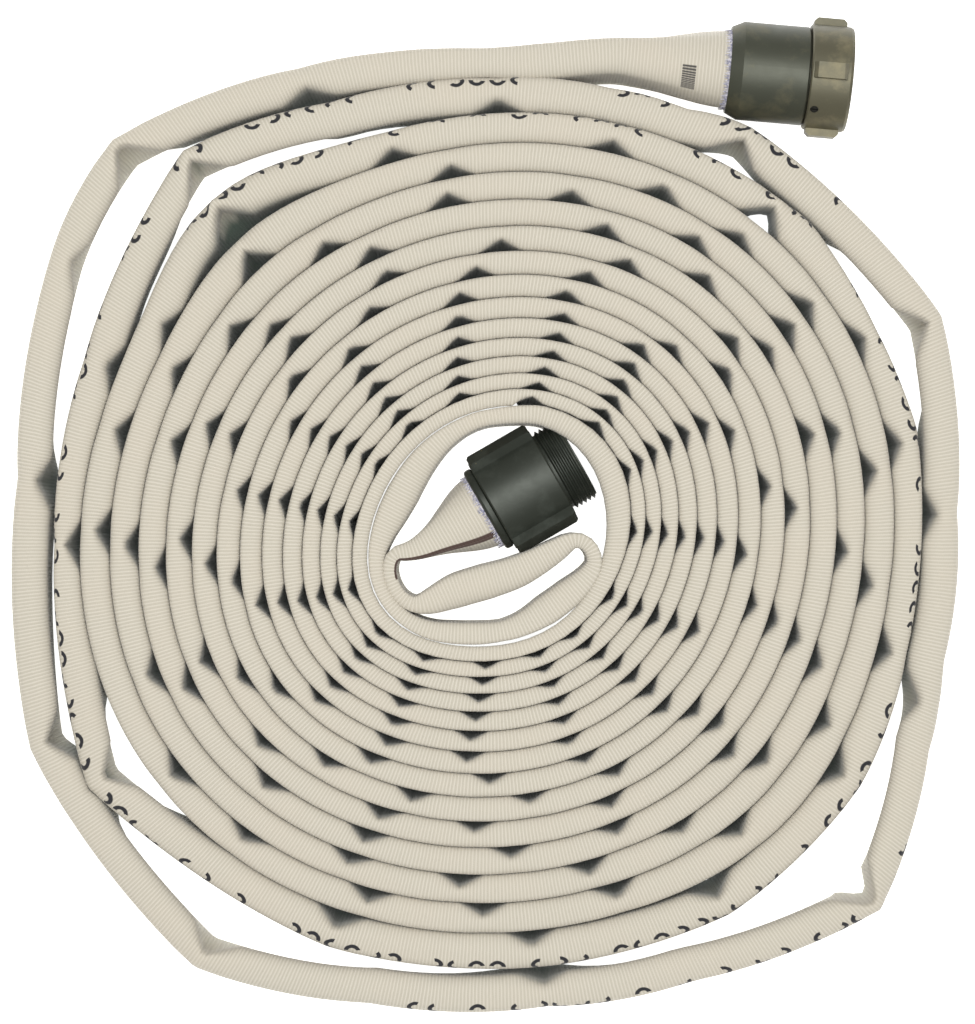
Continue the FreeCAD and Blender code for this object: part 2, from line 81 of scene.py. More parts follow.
# where the inner wall of each turn buckles: (angle, strength)
BUCKLES = (
    (117, 0.8), (138, 1.5), (151, 0.7), (177, 1.0), (209, 1.0), (240, 1.0), (282, 0.8), (322, 1.5),
    (345, 0.9), (369, 0.9), (392, 1.1), (423, 1.2),
    (454, 0.8), (493, 1.3), (520, 0.8), (545, 0.9), (576, 1.0), (613, 1.0), (641, 0.9), (668, 1.0),
    (692, 1.0), (710, 1.0), (739, 0.9), (754, 0.8), (775, 1.5),
    (798, 0.8), (829, 0.9), (854, 1.6), (871, 0.8), (888, 0.9), (903, 1.0), (941, 1.0), (955, 0.8),
    (976, 1.0), (994, 0.9), (1015, 1.1), (1036, 1.0), (1057, 1.0), (1079, 0.9), (1096, 1.0),
    (1122, 1.0), (1136, 0.8), (1149, 1.0),
    (1181, 0.9), (1215, 1.6), (1236, 0.9), (1265, 1.0), (1286, 1.0), (1331, 0.9), (1350, 1.0),
    (1372, 1.1), (1389, 0.8), (1407, 1.0), (1425, 1.0), (1444, 0.9), (1463, 1.0), (1481, 1.1),
    (1501, 0.9),
    (1522, 0.9), (1542, 1.0), (1564, 1.0), (1585, 1.1), (1607, 1.0), (1629, 0.8), (1650, 1.0),
    (1672, 1.0), (1692, 1.1), (1719, 0.9), (1739, 1.0), (1764, 1.0), (1788, 0.9), (1824, 1.1),
    (1840, 0.8), (1856, 1.0), (1875, 1.0),
    (1917, 1.1), (1940, 0.9), (1962, 1.0), (1984, 1.0), (2007, 1.0), (2026, 0.9), (2053, 1.1),
    (2072, 0.9), (2100, 1.0), (2127, 1.0), (2150, 0.9), (2172, 1.0), (2205, 1.1), (2229, 1.0),
    (2253, 1.0), (2276, 0.9), (2299, 1.1), (2322, 1.0), (2349, 1.0), (2373, 0.9), (2398, 1.0),
    (2418, 1.1), (2444, 0.9), (2464, 1.0), (2486, 1.0), (2512, 0.9), (2537, 1.0), (2561, 1.1),
    (2595, 1.0),
    (2618, 1.0), (2642, 0.9), (2665, 1.1), (2693, 1.0), (2713, 0.9), (2739, 1.0), (2766, 1.1),
    (2795, 1.0), (2819, 0.9), (2842, 1.0), (2883, 1.1), (2910, 1.0), (2932, 0.9), (2958, 1.0),
)
INNER_BUCKLE_STEP = 24.0
INNER_BUCKLE_DRIFT = 4.5
LAST_BUCKLE_ANGLE = 5130.0
# a buckle's reach along the wall and its depth, each a length and a share of the wall's radius
BUCKLE_WIDTH = (5.5, 0.042)
BUCKLE_DEPTH = (1.8, 0.031)
BUCKLE_SHARPNESS = 1.2
DEEPEST_BUCKLE = 0.66
# the buckles that open right down to the floor: (first angle, last angle)
OPEN_BUCKLES = ((305.0, 340.0), (765.0, 785.0))
OPENING_SLOPE = 3.0
OPENING_START = 0.2
# inside this angle every turn lies against the next
CLOSED_FROM = 800.0
CLOSING_ANGLE = 10.0
FOOT_REACH = 14.0
TOUCHING_GAP = 1.5
FREE_GAP = 5.0

# ------------------------------------------------ routes, in metres: x, y, height, thickness
# COUPLING_DEPTH is how much of the hose is inside each coupling
COUPLING_DEPTH = 0.0326
HOSE_MIDDLE = 0.0295
COUPLING_AXIS = 0.03430
FEMALE_MOUTH = (0.1130, 0.2850)
MALE_MOUTH = (-0.0048, 0.0190)
MALE_AXIS_ANGLE = 35.0
LEAD_ROUTE = (
    (0.1456, 0.2850, COUPLING_AXIS, 0.0200), (0.1130, 0.2850, COUPLING_AXIS, 0.0200),
    (0.0900, 0.2850, 0.0322, 0.0200), (0.0630, 0.2850, 0.0300, 0.0205),
    (0.0430, 0.2850, HOSE_MIDDLE, 0.0205), (-0.0010, 0.2765, HOSE_MIDDLE, 0.0205),
)
# from the coil into the core, without the height, which is HOSE_MIDDLE all the way
CORE_ROUTE = (
    (-0.0090, 0.0725, 0.0092), (-0.0214, 0.0662, 0.0100), (-0.0327, 0.0570, 0.0125),
    (-0.0414, 0.0462, 0.0155), (-0.0478, 0.0350, 0.0175), (-0.0529, 0.0235, 0.0185),
    (-0.0578, 0.0120, 0.0170), (-0.0622, 0.0000, 0.0130),
    (-0.0646, -0.0136, 0.0090), (-0.0616, -0.0275, 0.0080), (-0.0540, -0.0393, 0.0080),
    (-0.0428, -0.0476, 0.0085), (-0.0298, -0.0520, 0.0105), (-0.0160, -0.0522, 0.0122),
    (-0.0020, -0.0512, 0.0125), (0.0105, -0.0490, 0.0115), (0.0225, -0.0440, 0.0135),
    (0.0355, -0.0345, 0.0172),
    (0.0480, -0.0235, 0.0165), (0.0575, -0.0130, 0.0120), (0.0615, -0.0040, 0.0085), (0.0565, 0.0055, 0.0085),
    (0.0475, 0.0080, 0.0090), (0.0380, 0.0000, 0.0140), (0.0180, -0.0140, 0.0185), (-0.0010, -0.0215, 0.0205),
    (-0.0180, -0.0280, 0.0200), (-0.0310, -0.0355, 0.0150), (-0.0405, -0.0385, 0.0090),
    (-0.0490, -0.0340, 0.0083), (-0.0545, -0.0260, 0.0082), (-0.0565, -0.0170, 0.0082),
    (-0.0540, -0.0095, 0.0085), (-0.0460, -0.0080, 0.0110),
)
# the last points, into the male coupling: (distance back from its mouth, height)
MALE_ROUTE = ((0.040, 0.0305), (0.018, 0.0330), (0.0, COUPLING_AXIS), (-COUPLING_DEPTH, COUPLING_AXIS))
MALE_ROUTE_THICKNESS = 0.0150
# how closely the hose's line is drawn: route points per turn of the coil, and curve spans per route point
COIL_POINTS_PER_TURN = 40
SPANS_PER_POINT = 8

# ------------------------------------------------ the hose's own sizes, in metres
INNER_JACKET_INSET = 0.0014
LINER_INSET = 0.0026
TAIL_RADIUS = 0.0222
FEMALE_TAIL_GROWTH = 0.072
MALE_TAIL_GROWTH = 0.045
COIL_BLEND = 0.04
HALF_HEIGHT = 0.0290
FARTHEST_WALL = 0.0288
# rings of vertices: their distances, and how near to a buckle they are close together
COARSE_RING = 0.0090
FINE_RING = 0.0036
TAIL_RING = 0.0040
BUCKLE_REACH = 0.0150
# points of the flat section, wall by wall
OUTER_WALL_POINTS = 4
OUTER_FOLD_POINTS = 4
INNER_FOLD_POINTS = 7
INNER_WALL_POINTS = 4
BOTTOM_POINTS = 6
FOLD_FULLNESS = 0.86
# shares of the section's thickness: where its crest is, and how far down the folds and the foot reach
CREST_SHARE = 0.30
CREST_LIMIT = 0.003
BUCKLED_CREST_SHARE = 0.20
OUTER_FOLD_SHARE = 0.30
INNER_FOLD_SHARE = 0.40
FOOT_SHARE = 0.35
FOLD_DIP = 0.28
MOST_UNDERCUT = 0.0065
# where a buckle fades out towards the wall's foot: the height, and how much it rises over
PUSH_FOOT = -0.022
PUSH_RISE = 0.020
# share of its depth that counts as shade, on a wall with no other turn beside it
FREE_WALL_SHADE = 0.20

# ------------------------------------------------ prints and tracer, by the jacket's two maps
# a lap counts the section's points round the hose, from the outer wall's foot
TRACER_LAP = 5.0
TRACER_LENGTH = 0.106
TRACER_SPREAD = 0.48
TRACER_WIDTH = 0.62
# strokes: their pitch along the hose in metres, and the ring's radius and width as shares of it
STROKE_PITCH = 0.0115
STROKE_RADIUS = 0.30
STROKE_WIDTH = 0.125
STENCIL_LAP = 4.9
STENCIL_HEIGHT = 3.4
PRINTED_FROM = 1.0
PRINTED_TO = 3.62
LABEL_START = 0.0520
LABEL_END = 0.0600
LABEL_LAPS = (8.2, 12.6)
LABEL_BAR_RATE = 19.0
STROKE_GROUP = 0.33
STROKE_TURNS = 40.0
FEWEST_STROKES = 0.30
FEWEST_GROUPS = 0.35
TOOL_MARK_PITCH = 0.0006


class HoseSizes(bpy.types.PropertyGroup):
    """Sizes and colours of the woven hose"""
    rib_pitch: bpy.props.FloatProperty(
        name="Rib pitch", description="Distance between weft ribs, along the hose",
        default=0.0020, unit="LENGTH", precision=5)
    rib_height: bpy.props.FloatProperty(
        name="Rib height", description="How far the weft ribs stand out", default=0.0003,
        unit="LENGTH", precision=5)
    thread_pitch: bpy.props.FloatProperty(
        name="Warp pitch", description="Distance between warp yarns, round the hose",
        default=0.0013, unit="LENGTH", precision=5)
    jacket_colour: bpy.props.StringProperty(
        name="Jacket", description="Colour of the polyester yarn, as sRGB hex", default="#C3BDB0")
    # painted shade: the jacket is painted darker in the grooves between the ribs
    groove_shade_colour: bpy.props.StringProperty(
        name="Grooves", description="Colour between the ribs, as sRGB hex", default="#B4AE9F")
    # painted shade: the dark grey-green the jacket is painted deep between the turns
    painted_shade_colour: bpy.props.StringProperty(
        name="Painted shade", description="Colour of the jacket deep between the turns, as sRGB hex",
        default="#48564D")
    tracer_colour: bpy.props.StringProperty(
        name="Tracer", description="Colour of the twin tracer yarns, as sRGB hex", default="#34120E")
    ink_colour: bpy.props.StringProperty(
        name="Ink", description="Colour of the stencil strokes, as sRGB hex", default="#26262A")


class CouplingSizes(bpy.types.PropertyGroup):
    """Colours of the couplings"""
    female_colour: bpy.props.StringProperty(
        name="Outer coupling", description="Colour of its hard-anodised skin, as sRGB hex", default="#43453A")
    female_worn_colour: bpy.props.StringProperty(
        name="Outer coupling, worn", description="Colour where the skin is rubbed thin, as sRGB hex",
        default="#6E6951")
    swivel_colour: bpy.props.StringProperty(
        name="Swivel", description="Colour of its hard-anodised skin, as sRGB hex", default="#5B5847")
    swivel_worn_colour: bpy.props.StringProperty(
        name="Swivel, worn", description="Colour where the skin is rubbed thin, as sRGB hex",
        default="#91886A")
    male_colour: bpy.props.StringProperty(
        name="Inner coupling", description="Colour of its hard-anodised skin, as sRGB hex", default="#30342D")
    male_worn_colour: bpy.props.StringProperty(
        name="Inner coupling, worn", description="Colour where the skin is rubbed thin, as sRGB hex",
        default="#4C514A")
    fray_count: bpy.props.IntProperty(
        name="Fray tufts", description="Cut yarn ends round each mouth", default=170, min=12)
    fray_length: bpy.props.FloatProperty(
        name="Fray length", description="Length of the cut yarn ends", default=0.0032,
        unit="LENGTH", precision=5)


class StudioSizes(bpy.types.PropertyGroup):
    """Camera and light"""
    camera_height: bpy.props.FloatProperty(
        name="Camera height", description="Height of the lens above the floor", default=1.86, unit="LENGTH")
    camera_roll: bpy.props.FloatProperty(
        name="Camera roll", description="Turn of the camera about its own axis",
        default=math.radians(5.0), subtype="ANGLE")
    lens: bpy.props.FloatProperty(
        name="Focal length", description="Focal length of the lens, in millimetres", default=111.2)
    key_power: bpy.props.FloatProperty(
        name="Key light", description="Power of the soft box, in watts", default=40.0)
    sky_strength: bpy.props.FloatProperty(
        name="Surround", description="Strength of the white surround", default=0.42)


# ------------------------------------------------ outline formulas, in millimetres and degrees
def angle_between(a, b):
    return (a - b + 180) % 360 - 180


def lobe(angle, centre, half_width):
    return math.exp(-((angle_between(angle, centre) / half_width) ** 2))


def spiral_radius(angle):
    """Outer wall of the hose where the roll is nearly round."""
    turns = (angle - SPIRAL_START_ANGLE) / 360
    radius = SPIRAL_START_RADIUS - SPIRAL_FIRST_PITCH * turns + SPIRAL_PITCH_LOSS * turns ** 2
    radius += SPIRAL_SHIFT[0] * math.cos(math.radians(angle))
    radius += SPIRAL_SHIFT[1] * math.sin(math.radians(angle))
    for corner, height, width in BROAD_CORNERS:
        radius += height * lobe(angle, corner, width)
    for corner, height, width, fade in FADING_CORNERS:
        radius += height * lobe(angle, corner, width) * math.exp((2 - turns) / fade)
    core_turns = (COIL_LAST_ANGLE - SPIRAL_START_ANGLE) / 360
    for corner, height, width in CORE_BULGES:
        radius += height * lobe(angle, corner, width) * math.exp((turns - core_turns) / CORE_BULGE_FADE)
    return radius


def kinked_radius(angle):
    """Outer wall of the two outermost turns, which run nearly straight from kink to kink."""
    for (a, ra), (b, rb) in zip(OUTER_KINKS, OUTER_KINKS[1:]):
        if a <= angle <= b:
            whole = math.radians(b - a)
            part = math.radians(angle - a)
            straight = ra * rb * math.sin(whole) / (ra * math.sin(part) + rb * math.sin(whole - part))
            share = part / whole
            side = (ra + rb) / 2 * whole
            return straight + 4 * KINK_SIDE_BULGE * side * share * (1 - share)
    return spiral_radius(angle)


def outer_radius(angle):
    if angle < OUTER_KINKS[-1][0]:
        return kinked_radius(angle)
    return spiral_radius(angle)


def coil_thickness(angle):
    if angle + 360 > COIL_LAST_ANGLE:
        corner, height, width = CORE_TURN_SWELL
        return CORE_TURN + height * lobe(angle, corner, width)
    room = outer_radius(angle) - outer_radius(angle + 360) - TURN_GAP
    return min(FULLEST_TURN, room)


def buckles():
    """Every buckle of the inner wall, outermost first."""
    found = list(BUCKLES)
    angle = BUCKLES[-1][0] + INNER_BUCKLE_STEP
    count = 0
    while angle < LAST_BUCKLE_ANGLE:
        count += 1
        strength = 0.85 + 0.3 * abs(math.sin(2.1 * count))
        found.append((angle, strength))
        angle += INNER_BUCKLE_STEP + INNER_BUCKLE_DRIFT * math.sin(1.7 * count)
    return found


def smooth(value):
    value = min(1.0, max(0.0, value))
    return value * value * (3 - 2 * value)


# ------------------------------------------------ the hose's line
def mouth_of(place):
    return Vector((place[0], place[1], COUPLING_AXIS)) + ROLL_OFFSET


def route_points():
    """Control points of the hose's line, outer end first: (x, y, z, thickness).

    With them come the numbers of the coil's first and last points.
    """
    points = list(LEAD_ROUTE)
    first = len(points)
    step = 360 / COIL_POINTS_PER_TURN
    angle = COIL_FIRST_ANGLE
    while angle < COIL_LAST_ANGLE:
        thickness = coil_thickness(angle)
        middle = (outer_radius(angle) - thickness / 2) * MM
        turn = math.radians(angle)
        points.append((middle * math.cos(turn), middle * math.sin(turn), HOSE_MIDDLE, thickness * MM))
        angle += step
    last = len(points) - 1
    points += [(x, y, HOSE_MIDDLE, thickness) for x, y, thickness in CORE_ROUTE]
    axis = math.radians(MALE_AXIS_ANGLE)
    for back, height in MALE_ROUTE:
        x = MALE_MOUTH[0] - back * math.cos(axis)
        y = MALE_MOUTH[1] - back * math.sin(axis)
        points.append((x, y, height, MALE_ROUTE_THICKNESS))
    return points, first, last


def hose_line(points):
    """The smooth line through the route: a NURBS curve read back as points."""
    data = bpy.data.curves.new("hose_line", "CURVE")
    data.dimensions = "3D"
    data.resolution_u = SPANS_PER_POINT
    spline = data.splines.new("NURBS")
    spline.points.add(len(points) - 1)
    for point, (x, y, z, _) in zip(spline.points, points):
        point.co = (x + ROLL_OFFSET.x, y + ROLL_OFFSET.y, z, 1)
    spline.order_u = 3
    spline.use_endpoint_u = True
    holder = bpy.data.objects.new("hose_line", data)
    bpy.context.collection.objects.link(holder)
    bpy.context.view_layer.update()
    mesh = bpy.data.meshes.new_from_object(holder)
    line = np.empty(len(mesh.vertices) * 3)
    mesh.vertices.foreach_get("co", line)
    bpy.data.meshes.remove(mesh)
    bpy.data.objects.remove(holder)
    bpy.data.curves.remove(data)
    return line.reshape(-1, 3)


class Strand:
    """The hose's line with, at each point, its distance, thickness and angle in the coil."""

    def __init__(self):
        points, first, last = route_points()
        self.line = hose_line(points)
        gaps = np.linalg.norm(np.diff(self.line, axis=0), axis=1)
        self.distance = np.concatenate([[0.0], np.cumsum(gaps)])
        self.length = float(self.distance[-1])
        count = len(self.line)
        knot = np.arange(count) / (count - 1) * (len(points) - 2) + 0.5
        self.thickness = np.interp(knot, np.arange(len(points)), [p[3] for p in points])
        centre = self.line[:, :2] - np.array(ROLL_OFFSET[:2])
        turn = np.degrees(np.unwrap(np.arctan2(centre[:, 1], centre[:, 0])))
        inside = np.nonzero((knot > first + 1) & (knot < last - 1))[0]
        self.coil = (float(self.distance[inside[0]]), float(self.distance[inside[-1]]))
        shift = round((turn[inside[0]] - COIL_FIRST_ANGLE) / 360) * 360
        self.turn = turn - shift
        ahead = np.gradient(self.line, axis=0)
        self.way = ahead / np.linalg.norm(ahead, axis=1)[:, None]

    def at(self, distance):
        """Centre, direction, thickness and coil angle at a distance along the hose."""
        spot = [float(np.interp(distance, self.distance, self.line[:, k])) for k in range(3)]
        way = Vector([float(np.interp(distance, self.distance, self.way[:, k])) for k in range(3)])
        thickness = float(np.interp(distance, self.distance, self.thickness))
        turn = float(np.interp(distance, self.distance, self.turn))
        return Vector(spot), way.normalized(), thickness, turn


def ring_distances(strand, folds):
    """Where the hose has a ring of vertices: close together at folds and ends, further apart between."""
    spots = []
    here = 0.0
    marks = sorted(folds)
    index = 0
    while here < strand.length:
        spots.append(here)
        while index < len(marks) - 1 and marks[index] < here - BUCKLE_REACH:
            index += 1
        ahead = marks[index] - here
        if here < strand.coil[0] or here > strand.coil[1]:
            here += TAIL_RING
        elif abs(ahead) <= BUCKLE_REACH:
            here += FINE_RING
        elif ahead > 0:
            here += min(COARSE_RING, max(FINE_RING, ahead - BUCKLE_REACH))
        else:
            here += COARSE_RING
    spots.append(strand.length)
    return spots


def pushed(up, push, through):
    """A buckle is deep at the wall's top and fades out towards its foot, unless it goes right through."""
    return push * max(through, smooth((up - PUSH_FOOT) / PUSH_RISE))


def section(outward, inward, push, through, undercut, inset):
    """Points (out, up) of the flat section, from the outer wall's foot over the top and back underneath.

    A wall that nothing leans on slopes back under the fold by undercut.
    """
    outward -= inset
    inward -= inset
    half_height = HALF_HEIGHT - inset
    whole = outward + inward
    crest = max(min(outward - CREST_SHARE * whole, CREST_LIMIT), push - inward + BUCKLED_CREST_SHARE * whole)
    top = half_height - FOLD_DIP * push
    outer_drop = OUTER_FOLD_SHARE * whole
    inner_drop = INNER_FOLD_SHARE * whole
    foot_drop = FOOT_SHARE * whole
    foot = inward - push * through - undercut
    middle = (outward - foot) / 2
    half_foot = (outward + foot) / 2
    points = []
    for k in range(OUTER_WALL_POINTS):
        share = k / (OUTER_WALL_POINTS - 1)
        up = -(half_height - foot_drop) * (1 - share) + (top - outer_drop) * share
        points.append((outward, up))
    for k in range(1, OUTER_FOLD_POINTS + 1):
        lean = math.radians(90 * k / OUTER_FOLD_POINTS)
        across = max(0.0, math.cos(lean)) ** FOLD_FULLNESS
        up = math.sin(lean) ** FOLD_FULLNESS
        points.append((crest + (outward - crest) * across, top - outer_drop * (1 - up)))
    for k in range(1, INNER_FOLD_POINTS + 1):
        lean = math.radians(90 * k / INNER_FOLD_POINTS)
        across = math.sin(lean) ** FOLD_FULLNESS
        up = max(0.0, math.cos(lean)) ** FOLD_FULLNESS
        points.append((crest - (crest + inward - push) * across, top - inner_drop * (1 - up)))
    for k in range(1, INNER_WALL_POINTS + 1):
        share = k / INNER_WALL_POINTS
        up = (top - inner_drop) * (1 - share) - (half_height - foot_drop) * share
        points.append((pushed(up, push, through) - inward + undercut * share, up))
    for k in range(1, BOTTOM_POINTS + 1):
        lean = math.radians(180 * k / (BOTTOM_POINTS + 1))
        across = math.cos(lean)
        up = math.sin(lean) ** FOLD_FULLNESS
        points.append((middle - half_foot * across, -half_height + foot_drop * (1 - up)))
    return points


def closeness(turn, next_wall):
    """1 where a turn's inner wall lies against the next turn's outer wall, 0 where there is room between."""
    if turn < COIL_FIRST_ANGLE or turn + 360 > COIL_LAST_ANGLE:
        return 0.0
    if turn > CLOSED_FROM:
        return 1.0
    gap = outer_radius(turn) - coil_thickness(turn) - next_wall
    return smooth(1 - (gap - TOUCHING_GAP) / FREE_GAP)


def buckle_at(turn, radius, found, angles):
    """How far the inner wall is pushed out at an angle of the coil, in millimetres."""
    index = int(np.searchsorted(angles, turn))
    push = 0.0
    for near in (index - 1, index):
        if 0 <= near < len(found):
            angle, strength = found[near]
            reach = BUCKLE_WIDTH[0] + BUCKLE_WIDTH[1] * radius
            apart = abs(math.radians(turn - angle)) * radius / reach
            depth = strength * (BUCKLE_DEPTH[0] + BUCKLE_DEPTH[1] * radius)
            push = max(push, depth * max(0.0, 1 - apart) ** BUCKLE_SHARPNESS)
    return push


def inner_wall(turn, outer, found, angles):
    """The inner wall at an angle of the coil, in millimetres.

    Gives how far its foot is inside the outer wall, how far a buckle pushes its top out, and 1 where the
    buckle goes right through to the floor.
    """
    wide = coil_thickness(turn)
    push = min(buckle_at(turn, outer - wide, found, angles), DEEPEST_BUCKLE * wide)
    through = 0.0
    if any(first < turn < last for first, last in OPEN_BUCKLES):
        through = smooth(push / wide * OPENING_SLOPE - OPENING_START)
    foot = wide
    if turn + 360 < COIL_LAST_ANGLE:
        room = outer - outer_radius(turn + 360) - TURN_GAP
        foot += max(0.0, min(room - wide, FOOT_REACH)) * smooth((turn - CLOSED_FROM) / CLOSING_ANGLE)
    return foot, push + (foot - wide), through


def tail_share(strand, distance):
    """1 where the hose is round inside a coupling, 0 where it is flat."""
    from_female = distance - COUPLING_DEPTH
    from_male = strand.length - COUPLING_DEPTH - distance
    return max(smooth(1 - from_female / FEMALE_TAIL_GROWTH), smooth(1 - from_male / MALE_TAIL_GROWTH))


def ring_at(strand, distance, inset, found, angles):
    """One ring of a layer: (points, distance along the hose, how deep in shade each point is)."""
    centre, way, thickness, turn = strand.at(distance)
    aside = Vector((way.y, -way.x, 0)).normalized()
    outward = inward = thickness / 2
    push = through = packed_outside = packed_inside = 0.0
    start = smooth((distance - strand.coil[0]) / COIL_BLEND)
    end = smooth((strand.coil[1] - distance) / COIL_BLEND)
    share = min(start, end)
    if share > 0:
        flat = centre - ROLL_OFFSET
        radial = Vector((flat.x, flat.y, 0))
        outer = outer_radius(turn)
        foot, push, through = inner_wall(turn, outer, found, angles)
        outward += (outer * MM - radial.length - outward) * share
        inward += (radial.length - (outer - foot) * MM - inward) * share
        push *= MM * share
        aside = (aside * (1 - share) + radial.normalized() * share).normalized()
        packed_outside = closeness(turn - 360, outer) * share
        packed_inside = closeness(turn, outer_radius(turn + 360)) * share
    undercut = MOST_UNDERCUT * share * (1 - packed_inside) * (1 - through)
    tail = tail_share(strand, distance)
    middle = (outward - inward) / 2
    top = HALF_HEIGHT - inset
    radius = TAIL_RADIUS - inset
    points = []
    painted_shade_depth = []
    for across, up in section(outward, inward, push, through, undercut, inset):
        lean = math.atan2(up / top, (across - middle) / max(1e-5, (outward + inward) / 2 - inset))
        final_across = across + (radius * math.cos(lean) - across) * tail
        final_up = up + (radius * math.sin(lean) - up) * tail
        draw_in = min(1.0, FARTHEST_WALL / max(1e-6, math.hypot(final_across, final_up)))
        points.append(centre + aside * (final_across * draw_in) + Vector((0, 0, final_up * draw_in)))
        # painted shade: depth below the top, in full where another turn lies beside the wall, a share of it
        # on a free wall, none in the round tails
        packed = packed_outside if across > middle else packed_inside
        painted_shade_depth.append((top - up) * (1 - tail) * (FREE_WALL_SHADE + (1 - FREE_WALL_SHADE) * packed))
    return points, distance, painted_shade_depth


def hose_rings(strand, inset):
    """The rings of one layer, from the outer end to the core; inset is its depth in the hose's wall."""
    found = buckles()
    angles = np.array([angle for angle, _ in found])
    in_coil = (strand.distance > strand.coil[0]) & (strand.distance < strand.coil[1])
    folds = np.interp(angles, strand.turn[in_coil], strand.distance[in_coil])
    spots = ring_distances(strand, folds)
    return [ring_at(strand, distance, inset, found, angles) for distance in spots]


def map_sides(mesh, name, corners):
    """A UV map of the tube's sides: corners[k][j] is the place of point j of ring k, the seam's twice."""
    near, far = corners[:-1], corners[1:]
    sides = np.stack((near[:, :-1], near[:, 1:], far[:, 1:], far[:, :-1]), axis=2).reshape(-1, 2)
    uv = np.zeros((len(mesh.loops), 2), dtype=np.float32)
    uv[:len(sides)] = sides
    mesh.uv_layers.new(name=name).data.foreach_set("uv", uv.ravel())


def lay_mesh(name, rings, material):
    """A closed tube from rings.

    Its map "weave" is in metres along and round the hose, and "place" is the lap and the distance to the male
    end. Each point also carries its depth below the top, less where no other turn is beside it: how much
    shade the jacket's material paints there.
    """
    around = len(rings[0][0])
    points = [tuple(p) for ring, _, _ in rings for p in ring]
    faces = []
    for k in range(len(rings) - 1):
        low = k * around
        for j in range(around):
            after = (j + 1) % around
            faces.append((low + j, low + after, low + around + after, low + around + j))
    faces.append(tuple(reversed(range(around))))
    end = (len(rings) - 1) * around
    faces.append(tuple(range(end, end + around)))
    mesh = bpy.data.meshes.new(name)
    mesh.from_pydata(points, [], faces)
    weave = []
    place = []
    for ring, distance, _ in rings:
        lap = 0.0
        weave.append([(distance, lap)])
        for j in range(around):
            lap += (ring[(j + 1) % around] - ring[j]).length
            weave[-1].append((distance, lap))
        place.append([(j, rings[-1][1] - distance) for j in range(around + 1)])
    map_sides(mesh, "weave", np.array(weave))
    map_sides(mesh, "place", np.array(place))
    # painted shade: each point's depth of shade, read by the jacket's material
    painted_shade_depth = mesh.attributes.new("painted_shade_depth", "FLOAT", "POINT")
    painted_shade_depth.data.foreach_set("value", [depth for _, _, ring in rings for depth in ring])
    mesh.polygons.foreach_set("use_smooth", [True] * len(mesh.polygons))
    mesh.materials.append(material)
    mesh.update()
    piece = bpy.data.objects.new(name, mesh)
    bpy.context.collection.objects.link(piece)
    return piece


# ------------------------------------------------ materials
def linear(code):
    """sRGB hex as linear RGBA."""
    parts = [int(code[i:i + 2], 16) / 255 for i in (1, 3, 5)]
    return tuple(c / 12.92 if c <= 0.04045 else ((c + 0.055) / 1.055) ** 2.4 for c in parts) + (1.0,)


def add(tree, kind, inputs=None, **settings):
    """A node with its settings; inputs are numbers, colours or sockets to link."""
    made = tree.nodes.new(kind)
    for key, value in settings.items():
        setattr(made, key, value)
    for key, value in (inputs or {}).items():
        if isinstance(value, bpy.types.NodeSocket):
            tree.links.new(value, made.inputs[key])
        else:
            made.inputs[key].default_value = value
    return made


def new_material(name):
    material = bpy.data.materials.new(name)
    material.use_nodes = True
    material.node_tree.nodes.clear()
    return material, material.node_tree


